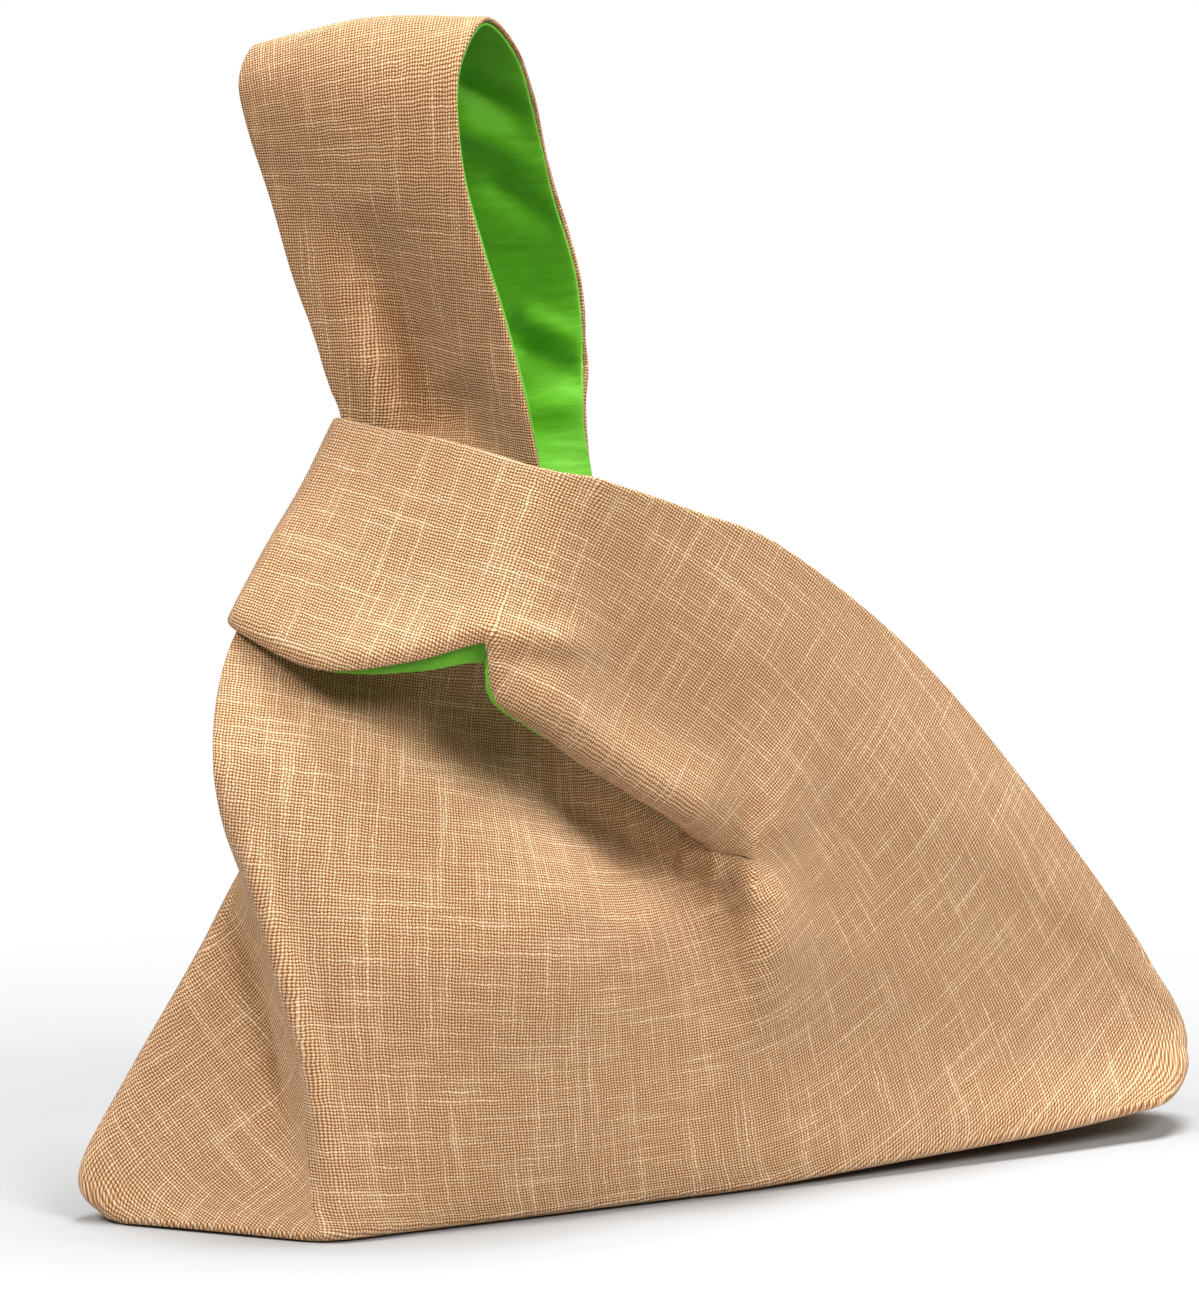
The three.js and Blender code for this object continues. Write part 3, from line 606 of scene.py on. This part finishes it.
def gusset_block(front_edge, back_edge, bulge):
    """Cloth between two edges, with its middle pushed out."""
    out = unit(np.cross(back_edge - front_edge, [0, 0, 1.0]))
    rise = np.linspace(0, 1, len(front_edge))[:, None]
    middle = (front_edge + back_edge) / 2 + out * bulge * np.sin(np.pi * rise) ** BULGE_POWER
    lines = np.stack([front_edge, middle, back_edge])
    block = np.swapaxes(through(lines, ACROSS * (len(lines) - 1)), 0, 1)
    inner = np.clip(np.minimum(ACROSS, 1 - ACROSS)[None, :, None] * GUSSET_DISH, 0, 1)
    return block + (relief(block, "gusset") - block) * inner


def base_block(front_edge, back_edge):
    """Cloth between the panels' lower edges: flat, but lifted towards its right end."""
    share = ACROSS[:, None, None]
    block = front_edge[None] * (1 - share) + back_edge[None] * share
    lift = np.linspace(0, PANEL_LAST, block.shape[1]) - NOTCH_COLUMN
    lift = LIFT_END * np.clip(lift / (PANEL_LAST - NOTCH_COLUMN), 0, 1) ** LIFT_CURVE
    along = np.linspace(0, 1, block.shape[1])[None]
    inner = np.minimum(np.minimum(share, 1 - share)[..., 0], np.minimum(along, 1 - along))
    inner = np.minimum(inner * BASE_DISH, 1)
    block[..., 2] = block[..., 2] * (1 - inner) + (BASE_LEVEL + lift[None]) * inner
    return block


def shell_blocks(is_lining):
    """All the cloth of the bag but the handle, as blocks of points."""
    front_band, back_band = band_blocks(is_lining)
    front_panel, front_root = FRONT.body(FRONT_ROOT_ROWS)
    back_panel, back_root = BACK.body(BACK_ROOT_ROWS)
    side_roll = read(SIDE_ROLL, positions(0, PANEL_TOP))
    front_panel = rolled(relief(front_panel, "panel"), 1, SIDE_REACH, side_roll)
    sides = [panel[:GUSSET_ROWS, 0] for panel in (front_panel, back_panel)]
    halves = ((front_panel, front_band), (back_panel, back_band))
    ends = [np.concatenate([panel[:, -1], band[1:, -1]]) for panel, band in halves]
    return {
        "front panel": front_panel,
        "front root": relief(front_root, "panel"),
        "front band": front_band,
        "back panel": back_panel,
        "back root": back_root,
        "back band": back_band,
        "left gusset": gusset_block(*sides, GUSSET_BULGE),
        "right gusset": gusset_block(*ends, -GUSSET_BULGE),
        "base": base_block(front_panel[0], back_panel[0]),
    }


def shell_sheet(blocks):
    """The bag but the handle as one sheet."""
    return rounded(joined([grid(blocks[name], name in TURNED) for name in sum(CLOTHS, ())]), blocks)


def shell_counts(blocks):
    """Thread counts at each facet's corners, for each cloth by itself, in the order of the shell's facets."""
    counts = []
    for names in CLOTHS:
        parts = [grid(blocks[name], name in TURNED) for name in names]
        ways = [block_ways(name, blocks[name]).reshape(-1, 2, 3) for name in names]
        cut, ways = joined(parts, np.concatenate(ways))
        counts.append(thread_map(cut, calmed(cut, ways), "front panel" in names)[cut.facets])
    return np.concatenate(counts)


def rounded(sheet, blocks):
    """Softens the folds, the pleat's tip and the right end, and draws the right end out a little."""
    names = ("front panel", "back panel", "front band", "back band")
    front, back, front_band, back_band = (blocks[name] for name in names)
    folds = [front[0], back[0], front[:GUSSET_ROWS, 0], back[:GUSSET_ROWS, 0]]
    folds += [front[:, -1], back[:, -1], front_band[:, 0], front_band[:, -1]]
    sheet = softened(sheet, folds, *FOLD_SOFT)
    past_tip = FRONT.band_columns() - FRONT.notch
    tip = front_band[0, (past_tip > TIP_SPAN[0]) & (past_tip < TIP_SPAN[1])]
    sheet = softened(sheet, [tip], *TIP_SOFT, rim_too=True)
    ends = [front[:, -1], front_band[:, -1], back_band[:, -1]]
    sheet = softened(sheet, ends, *END_SOFT, rim_too=True)
    pull = np.interp(to_pixels(sheet.points)[:, 0], END_SPAN, (0, 1)) ** 2 * END_PUSH
    return Sheet(sheet.points + pull[:, None] * RIGHT, sheet.facets)


def softened(sheet, lines, reach, passes, rim_too=False):
    """Rounds the cloth near some lines of points. A rim keeps its own line unless rim_too is set."""
    points = sheet.points.copy()
    lines = np.concatenate(lines)
    nearest = np.full(len(points), np.inf)
    for start in range(0, len(lines), NEAREST_AT_ONCE):
        some = lines[None, start : start + NEAREST_AT_ONCE]
        nearest = np.minimum(nearest, np.linalg.norm(points[:, None] - some, axis=2).min(1))
    share = np.clip(SOFT_END - nearest / reach, 0, 1)[:, None] * SOFT_PACE
    edges = sheet.edges()
    pairs = np.concatenate([edges, edges[:, ::-1]])
    if not rim_too:
        rim = sheet.open_edges()
        on_rim = np.zeros(len(points), bool)
        on_rim[rim.ravel()] = True
        pairs = np.concatenate([pairs[~on_rim[pairs[:, 0]]], rim, rim[:, ::-1]])
    start, end = pairs[share[pairs[:, 0], 0] > 0].T
    count = np.bincount(start, minlength=len(points))[:, None]
    for _ in range(passes):
        total = np.stack([np.bincount(start, points[end, k], len(points)) for k in range(3)], 1)
        points = points + (total / np.maximum(count, 1) - points) * share
    points[:, 2] = np.maximum(points[:, 2], BASE_LEVEL)
    return Sheet(points, sheet.facets)


def strap_block():
    """The long strap from where it leaves the front panel's root to where it joins the back panel's."""
    row_count = len(FRONT.panel) + len(FRONT_ROOT) + len(FRONT_STRAP) + len(BACK_ROOT)
    rows = positions(PANEL_TOP + FRONT_ROOT_ROWS, row_count - BACK_ROOT_ROWS)
    columns = positions(0, STRAP_COLUMN)
    hip = read(HANDLE_HIP, rows - rows[0])[:, None] * (1 - columns / STRAP_COLUMN) ** 2
    block = FRONT.panel_at(columns, rows) + hip[..., None] * RIGHT
    across = np.linspace(-1, 1, block.shape[1])[None, :, None]
    creased = block + (relief(block, "back leg") - block) * (1 - across**CREASE_POWER)
    return np.where((rows < RIDGE_AT)[:, None, None], relief(block, "handle"), creased)


def strap_ways(block):
    """Thread directions on the long strap: as photographed in front, along its edges behind."""
    behind = unit(np.stack([np.gradient(block, axis=1), np.gradient(block, axis=0)], -2))
    front_rows = int((RIDGE_AT - PANEL_TOP - FRONT_ROOT_ROWS) * NET_STEPS)
    seen_part = seen_ways(block[:front_rows], HANDLE_THREADS)
    return np.concatenate([seen_part, behind[front_rows:]])


def block_ways(name, block):
    """Weft and warp directions over one of the shell's blocks."""
    if name == "left gusset":
        return bias_ways(block)
    if name == "base":
        return seen_ways(block, PANEL_THREADS, *BASE_WAYS)
    if name in ("back panel", "back root"):
        return back_ways(block, math.pi / 2)
    if name == "back band":
        return back_ways(block, np.clip(BACK.band_columns() / BACK.notch, 0, 1) * math.pi / 2)
    return seen_ways(block, BAND_THREADS if name == "front band" else PANEL_THREADS)


def seen_ways(block, samples, right=RIGHT, up=CAMERA_UP):
    """Weft and warp directions over a block, from the samples near each point in the photograph."""
    angles = blend_samples(block.reshape(-1, 3), samples)
    ways = np.cos(angles)[..., None] * right + np.sin(angles)[..., None] * up
    return ways.reshape(block.shape[:2] + (2, 3))


def bias_ways(block):
    """Weft and warp directions over the left gusset, cut at a slant to its edges."""
    along, up = unit(np.gradient(block, axis=1)), unit(np.gradient(block, axis=0))
    weft = math.cos(GUSSET_BIAS) * along + math.sin(GUSSET_BIAS) * up
    warp = math.cos(GUSSET_BIAS) * up - math.sin(GUSSET_BIAS) * along
    return np.stack([weft, warp], -2)


def back_ways(block, turn):
    """Weft and warp directions on the far side, turned by an angle from upright."""
    turn = np.broadcast_to(turn, block.shape[:2])[..., None]
    along, up = np.array([1.0, 0.0, 0.0]), np.array([0.0, 0.0, 1.0])
    weft = -np.sin(turn) * along + np.cos(turn) * up
    warp = np.cos(turn) * along + np.sin(turn) * up
    return np.stack([weft, warp], -2)


def blend_samples(points, samples):
    """Weft and warp angles at points, from the samples near them in the photograph."""
    table = np.array(samples, float)
    gap = np.linalg.norm(to_pixels(points)[:, None] - table[None, :, :2], axis=2) / THREAD_REACH
    weight = 1.0 / (gap**3 + THREAD_BLEND)
    weight /= weight.sum(1, keepdims=True)
    return np.radians(weight @ table[:, 2:])


def calmed(sheet, ways):
    """Evens out the thread directions between neighbouring points."""
    edges = sheet.edges()
    count = np.bincount(edges.ravel(), minlength=len(ways))[:, None, None]
    for _ in range(CALM_PASSES):
        total = np.zeros_like(ways)
        np.add.at(total, edges[:, 0], ways[edges[:, 1]])
        np.add.at(total, edges[:, 1], ways[edges[:, 0]])
        ways = (ways + total / np.maximum(count, 1)) / 2
    return ways


def thread_map(sheet, ways, in_view=False):
    """Weft and warp thread counts at each point, so that the threads run, or look, the given ways."""
    normals = sheet.normals()
    if in_view:
        toward = normals * -np.sign((normals @ CAMERA_LOOK).sum())
        facing = np.minimum(toward @ CAMERA_LOOK, -GRAZING)[:, None, None]
        ways = ways - (ways * toward[:, None]).sum(2, keepdims=True) / facing * CAMERA_LOOK
    weft, warp = (way - (way * normals).sum(1, keepdims=True) * normals for way in np.swapaxes(ways, 0, 1))
    outward = normals * np.sign((np.cross(weft, warp) * normals).sum())
    between = unit(weft + np.cross(outward, weft) + warp - np.cross(outward, warp))
    side = np.cross(outward, between)
    start, end = sheet.edges().T
    step = sheet.points[end] - sheet.points[start]
    counts = []
    for across in (between - side, side + between):
        gradient = across / math.sqrt(2) / THREAD_PITCH
        change = ((gradient[start] + gradient[end]) / 2 * step).sum(1)
        counts.append(spread(len(sheet.points), start, end, change))
    return np.stack(counts, 1)


def spread(count, start, end, change):
    """Values at the points whose differences along the edges come nearest to the wanted changes."""

    def gathered(along):
        return np.bincount(end, along, count) - np.bincount(start, along, count)

    value = np.zeros(count)
    rest = gathered(change)
    direction = rest.copy()
    size = rest @ rest
    for _ in range(SPREAD_ROUNDS):
        pushed = gathered(direction[end] - direction[start])
        pace = size / max(direction @ pushed, SPREAD_FLOOR)
        value += pace * direction
        rest -= pace * pushed
        new_size = rest @ rest
        if new_size < SPREAD_NEAR:
            break
        direction = rest + direction * (new_size / size)
        size = new_size
    return value


def cloth_object(name, sheet, layer, corners, material):
    """A closed piece of cloth that lies in one layer outside a sheet's middle surface, with round edges."""
    inside, outside, trim = layer
    middle, half = (inside + outside) / 2, (outside - inside) / 2
    normals, count = sheet.normals(), len(sheet.points)
    threads = np.zeros((count, 2))
    threads[sheet.facets.ravel()] = corners.reshape(-1, 2)
    start, end = sheet.open_edges().T
    out = rim_directions(sheet, normals, start, end)
    rim = np.unique([start, end])
    growth = rim_growth(sheet, threads, rim)
    base = sheet.points - out * trim
    layers, uv = [base + normals * outside, base + normals * inside], [threads, threads]
    place = np.zeros(count, int)
    place[rim] = np.arange(len(rim)) + 2 * count
    rings = [(start, end)]
    for index, turn in enumerate(RIM_TURNS):
        high = normals[rim] * (middle + half * math.sin(turn))
        layers.append(base[rim] + high + out[rim] * half * math.cos(turn))
        uv.append(threads[rim] + growth * half * (math.pi / 2 - turn))
        rings.append((place[start] + index * len(rim), place[end] + index * len(rim)))
    rings.append((start + count, end + count))
    edge_faces = np.concatenate([np.stack([b, a, c, d], 1) for (a, b), (c, d) in zip(rings[:-1], rings[1:])])
    faces = np.concatenate([sheet.facets, sheet.facets[:, ::-1] + count, edge_faces])
    corner_uv = np.concatenate([corners, corners[:, ::-1], np.concatenate(uv)[edge_faces]])
    return mesh_object(name, np.concatenate(layers), faces, corner_uv, material)


def rim_directions(sheet, normals, start, end):
    """At the open edges' corners, the direction that leads out of the cloth."""
    out = np.zeros_like(sheet.points)
    side = np.cross(sheet.points[end] - sheet.points[start], normals[start] + normals[end])
    np.add.at(out, start, side)
    np.add.at(out, end, side)
    return unit(out)


def rim_growth(sheet, threads, rim):
    """Thread counts per millimetre straight out of the cloth at its rim."""
    is_rim = np.zeros(len(sheet.points), bool)
    is_rim[rim] = True
    pairs = sheet.walked()
    pairs = np.concatenate([pairs, pairs[:, ::-1]])
    pairs = pairs[is_rim[pairs[:, 0]] & ~is_rim[pairs[:, 1]]]
    inner = np.arange(len(sheet.points))
    inner[pairs[:, 0]] = pairs[:, 1]
    inner = inner[rim]
    gap = np.linalg.norm(sheet.points[rim] - sheet.points[inner], axis=1, keepdims=True)
    return np.where(gap > 0, (threads[rim] - threads[inner]) / np.maximum(gap, TINY), 0)


def mesh_object(name, points, faces, corner_uv, material):
    mesh = bpy.data.meshes.new(name)
    mesh.from_pydata((points * MM).tolist(), [], faces.tolist())
    layer = mesh.uv_layers.new(name=THREAD_LAYER)
    layer.data.foreach_set("uv", corner_uv.astype(np.float32).ravel())
    mesh.materials.append(material)
    mesh.polygons.foreach_set("use_smooth", [True] * len(faces))
    mesh.update()
    return linked(name, mesh)


def linked(name, data):
    """A new object in the scene."""
    made = bpy.data.objects.new(name, data)
    bpy.context.scene.collection.objects.link(made)
    return made


def linear(colour):
    """A colour as the screen shows it (0 to 255), as the shader's linear colour."""
    shares = [value / 255 for value in colour]
    return tuple(s / 12.92 if s < 0.04045 else ((s + 0.055) / 1.055) ** 2.4 for s in shares) + (1.0,)


class Shading:
    """A node tree, with short calls for the nodes that the cloths, the floor and the room use."""

    def __init__(self, owner, output="OutputMaterial"):
        owner.use_nodes = True
        self.owner = owner
        self.tree = owner.node_tree
        self.tree.nodes.clear()
        self.output = self.node(output)

    def node(self, kind, inputs=(), **settings):
        """A new node. Its inputs, by name or place, are linked to another node or set to a value."""
        made = self.tree.nodes.new("ShaderNode" + kind)
        for name, value in settings.items():
            setattr(made, name, value)
        for key, source in dict(inputs).items():
            if isinstance(source, bpy.types.NodeSocket):
                self.tree.links.new(source, made.inputs[key])
            else:
                made.inputs[key].default_value = source
        return made

    def show(self, shader):
        self.tree.links.new(shader.outputs[0], self.output.inputs["Surface"])

    def math(self, operation, *values):
        return self.node("Math", enumerate(values), operation=operation).outputs[0]

    def plus(self, first, second):
        return self.math("ADD", first, second)

    def minus(self, first, second):
        return self.math("SUBTRACT", first, second)

    def times(self, first, second):
        return self.math("MULTIPLY", first, second)

    def weighted(self, values, weights):
        """The sum of values, each times its weight."""
        total, *others = (self.times(value, weight) for value, weight in zip(values, weights))
        for other in others:
            total = self.plus(total, other)
        return total

    def chosen(self, share, first, second):
        """The first value where share is 1, the second where it is 0."""
        return self.plus(second, self.times(share, self.minus(first, second)))

    def fit(self, value, span, onto=(0.0, 1.0)):
        """A value that runs over one span, laid onto another."""
        return self.node("MapRange", enumerate((value, *span, *onto))).outputs[0]

    def combine(self, x, y, z=0.0):
        return self.node("CombineXYZ", enumerate((x, y, z))).outputs[0]

    def noise(self, place, kind):
        inputs = dict(zip(("Scale", "Detail", "Roughness"), kind), Vector=place)
        return self.node("TexNoise", inputs).outputs["Fac"]

    def white(self, value):
        return self.node("TexWhiteNoise", {"W": value}, noise_dimensions="1D").outputs["Value"]

    def mix(self, share, first, second):
        return self.node("Mix", {0: share, 6: first, 7: second}, data_type="RGBA").outputs[2]

    def threads(self):
        """Thread counts at the point that is shaded."""
        counts = self.node("UVMap", uv_map=THREAD_LAYER).outputs[0]
        return self.node("SeparateXYZ", {0: counts}).outputs[:2]

    def place(self):
        return self.node("TexCoord").outputs["Object"]

    def cloth(self, colour, height, bump, rough, sheen):
        """Shows a cloth of this colour, relief (with its strength and depth), roughness and sheen."""
        normal = self.node("Bump", {"Height": height, "Strength": bump[0], "Distance": bump[1]}).outputs[0]
        inputs = {"Base Color": colour, "Normal": normal, "Roughness": rough, **sheen}
        self.show(self.node("BsdfPrincipled", inputs))
        return self.owner


def woven(shading):
    """A plain weave: its height, where the warp lies on top, and the threads' numbers and slubs."""
    counts = shading.threads()
    moved = []
    for count, other, plane in zip(counts, counts[::-1], (0.0, WEFT_PLANE)):
        place = shading.combine(count, other, plane)
        for kind, reach in ((WANDER_NOISE, WANDER), (RIPPLE_NOISE, RIPPLE)):
            shift = shading.times(shading.minus(shading.noise(place, kind), NOISE_MIDDLE), reach)
            count = shading.plus(count, shift)
        moved.append(count)
    numbers = [shading.math("FLOOR", count) for count in moved]
    warp_slub = slub(shading, numbers[0], moved[1], WARP_SEED)
    weft_slub = slub(shading, numbers[1], moved[0], WEFT_SEED)
    waves = [shading.math("SINE", shading.times(count, math.pi)) for count in moved]
    crossing = shading.times(*waves)
    warp = crown(shading, waves[0], shading.times(crossing, THREAD_HEIGHT), warp_slub)
    weft = crown(shading, waves[1], shading.times(crossing, -THREAD_HEIGHT), weft_slub)
    height, over = shading.math("MAXIMUM", warp, weft), shading.math("GREATER_THAN", warp, weft)
    return height, over, numbers, (warp_slub, weft_slub)


def crown(shading, wave, lift, slub_share):
    """A thread's height: its round back, lifted where it passes over the other threads."""
    back = shading.times(shading.math("ABSOLUTE", wave), THREAD_HEIGHT)
    return shading.plus(shading.plus(back, lift), shading.times(slub_share, SLUB_HEIGHT))


def slub(shading, number, along, seed):
    """Thick stretches along a thread, 0 to 1."""
    place = shading.combine(shading.times(number, seed), shading.times(along, SLUB_PACE), seed)
    return shading.fit(shading.noise(place, SLUB_NOISE), SLUB_RANGE)


def linen(name, light, dark, gap, bright):
    """Coarse plain-woven linen with slubs, uneven threads and fibres that catch the light."""
    shading = Shading(bpy.data.materials.new(name))
    height, over, numbers, slubs = woven(shading)
    tones = shading.white(numbers[0]), shading.white(shading.plus(numbers[1], TONE_SEED))
    fibre = shading.noise(shading.combine(*shading.threads(), FIBRE_PLANE), FIBRE_NOISE)
    cloud = shading.noise(shading.place(), LINEN_CLOUD)
    share = shading.weighted((shading.chosen(over, *tones), fibre, cloud), LINEN_SHARES)
    colour = shading.mix(shading.fit(share, LINEN_TONE), dark, light)
    colour = shading.mix(shading.times(shading.chosen(over, *slubs), SLUB_SHARE), colour, bright)
    # Painted shade: the low places between threads take the dark gap colour.
    colour = shading.mix(shading.fit(height, GAP_SHADE_HEIGHT), gap, colour)
    height = shading.plus(height, shading.times(fibre, FUZZ))
    rough = shading.fit(fibre, ROUGH_NOISE, LINEN_ROUGH)
    return shading.cloth(colour, height, LINEN_BUMP, rough, LINEN_SHEEN)


def satin(name, light, dark):
    """Smooth green lining: fine threads, soft sheen and faint creases."""
    shading = Shading(bpy.data.materials.new(name))
    counts = shading.threads()
    fine = shading.times(*(shading.math("SINE", shading.times(count, SATIN_THREADS)) for count in counts))
    streak, crease = (
        shading.noise(shading.combine(*map(shading.times, counts, pace)), kind)
        for pace, kind in ((STREAK_PACE, STREAK_NOISE), (CREASE_PACE, CREASE_NOISE))
    )
    cloud = shading.noise(shading.place(), SATIN_CLOUD)
    share = shading.weighted((streak, cloud), SATIN_SHARES)
    colour = shading.mix(shading.fit(share, SATIN_TONE), dark, light)
    height = shading.weighted((fine, crease), SATIN_HEIGHTS)
    rough = shading.fit(streak, ROUGH_NOISE, SATIN_ROUGH)
    return shading.cloth(colour, height, SATIN_BUMP, rough, SATIN_SHEEN)


def make_cloth(lin, handle_lin, green):
    """The four pieces: shell and handle, each with its lining, whose threads lie as the linen's do."""
    blocks = shell_blocks(is_lining=False)
    counts = shell_counts(blocks)
    sheet = shell_sheet(blocks)
    lining_sheet = shell_sheet(shell_blocks(is_lining=True))
    block = strap_block()
    strap = grid(block)
    strap_counts = thread_map(strap, calmed(strap, strap_ways(block).reshape(-1, 2, 3)))[strap.facets]
    return {
        "shell": cloth_object("shell_linen", sheet, OUTER_LAYER, counts, lin),
        "shell_lining": cloth_object("shell_lining", lining_sheet, LINING_LAYER, counts, green),
        "handle": cloth_object("handle_linen", strap, OUTER_LAYER, strap_counts, handle_lin),
        "handle_lining": cloth_object("handle_lining", strap, LINING_LAYER, strap_counts, green),
    }


def fasten(pieces):
    """Hides the model's parts that the pieces stand for, and bakes each piece's transform."""
    for key, slot, layer, parts, flat, area in PIECES:
        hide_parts(*[f"{layer}_{part}" for part in parts])
    for key in ("shell", "shell_lining"):
        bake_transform(pieces[key])
    for key in ("handle", "handle_lining"):
        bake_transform(pieces[key])


def camera():
    data = bpy.data.cameras.new("photo_camera")
    made = linked("photo_camera", data)
    target = ORIGIN + RIGHT * AXIS_RIGHT + CAMERA_UP * AXIS_UP
    made.location = Vector((target - CAMERA_LOOK * CAMERA_DISTANCE) * MM)
    made.rotation_euler = Vector(CAMERA_LOOK).to_track_quat("-Z", "Y").to_euler()
    data.sensor_fit = "VERTICAL"
    data.angle = 2 * math.atan(IMAGE_SIZE[1] * PIXEL / 2 / CAMERA_DISTANCE)
    data.clip_start, data.clip_end = CAMERA_CLIP
    bpy.context.scene.camera = made


def lamp(name, right, away, up, power, size):
    place = tuple(seen_to_bag([right, away, up]) * MM)
    data = bpy.data.lights.new(name, "AREA")
    data.shape = "DISK"
    data.size = size
    data.energy = power
    made = linked(name, data)
    made.location = place
    made.rotation_euler = (Vector(LAMP_TARGET) - Vector(place)).to_track_quat("-Z", "Y").to_euler()


def room():
    """Surroundings that look white to the camera and in reflections, and light the bag dimly and warmly."""
    world = bpy.data.worlds.new("studio")
    bpy.context.scene.world = world
    shading = Shading(world, "OutputWorld")
    rays = shading.node("LightPath").outputs
    looked_at = shading.math("MAXIMUM", rays["Is Camera Ray"], rays["Is Glossy Ray"])
    looked_at = shading.math("MAXIMUM", looked_at, rays["Is Transmission Ray"])
    light = shading.node("Background", {"Color": ROOM_COLOUR, "Strength": ROOM_LIGHT})
    white = shading.node("Background", {"Color": WHITE})
    shading.show(shading.node("MixShader", {0: looked_at, 1: light.outputs[0], 2: white.outputs[0]}))
    bpy.context.scene.view_settings.view_transform = "Standard"


def floor():
    """A pale floor that fades out into the white surroundings."""
    shading = Shading(bpy.data.materials.new("floor"))
    paper = shading.node("BsdfDiffuse", {"Color": FLOOR_COLOUR}).outputs[0]
    clear = shading.node("BsdfTransparent").outputs[0]
    away = shading.node("VectorMath", {0: shading.place()}, operation="LENGTH").outputs["Value"]
    shading.show(shading.node("MixShader", {0: shading.fit(away, FLOOR_FADE), 1: paper, 2: clear}))
    mesh = bpy.data.meshes.new("floor")
    half = FLOOR_SIZE
    corners = [(-half, -half, 0), (half, -half, 0), (half, half, 0), (-half, half, 0)]
    mesh.from_pydata(corners, [], [(0, 1, 2, 3)])
    mesh.materials.append(shading.owner)
    linked("floor", mesh)


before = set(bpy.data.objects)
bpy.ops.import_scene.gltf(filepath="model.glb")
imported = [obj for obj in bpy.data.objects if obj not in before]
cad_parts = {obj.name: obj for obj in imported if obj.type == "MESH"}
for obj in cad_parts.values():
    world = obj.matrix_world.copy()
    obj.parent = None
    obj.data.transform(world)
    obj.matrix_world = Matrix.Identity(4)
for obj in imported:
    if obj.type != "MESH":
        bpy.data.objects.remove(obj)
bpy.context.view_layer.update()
fasten(make_cloth(
    linen("linen", *map(linear, BAG_LINEN)),
    # Painted shade: the handle's linen is a darker copy of the bag's.
    linen("handle_linen", *map(linear, SHADED_HANDLE_LINEN)),
    satin("lining", *map(linear, LINING_GREEN)),
))
camera()
for settings in LAMPS:
    lamp(*settings)
room()
floor()
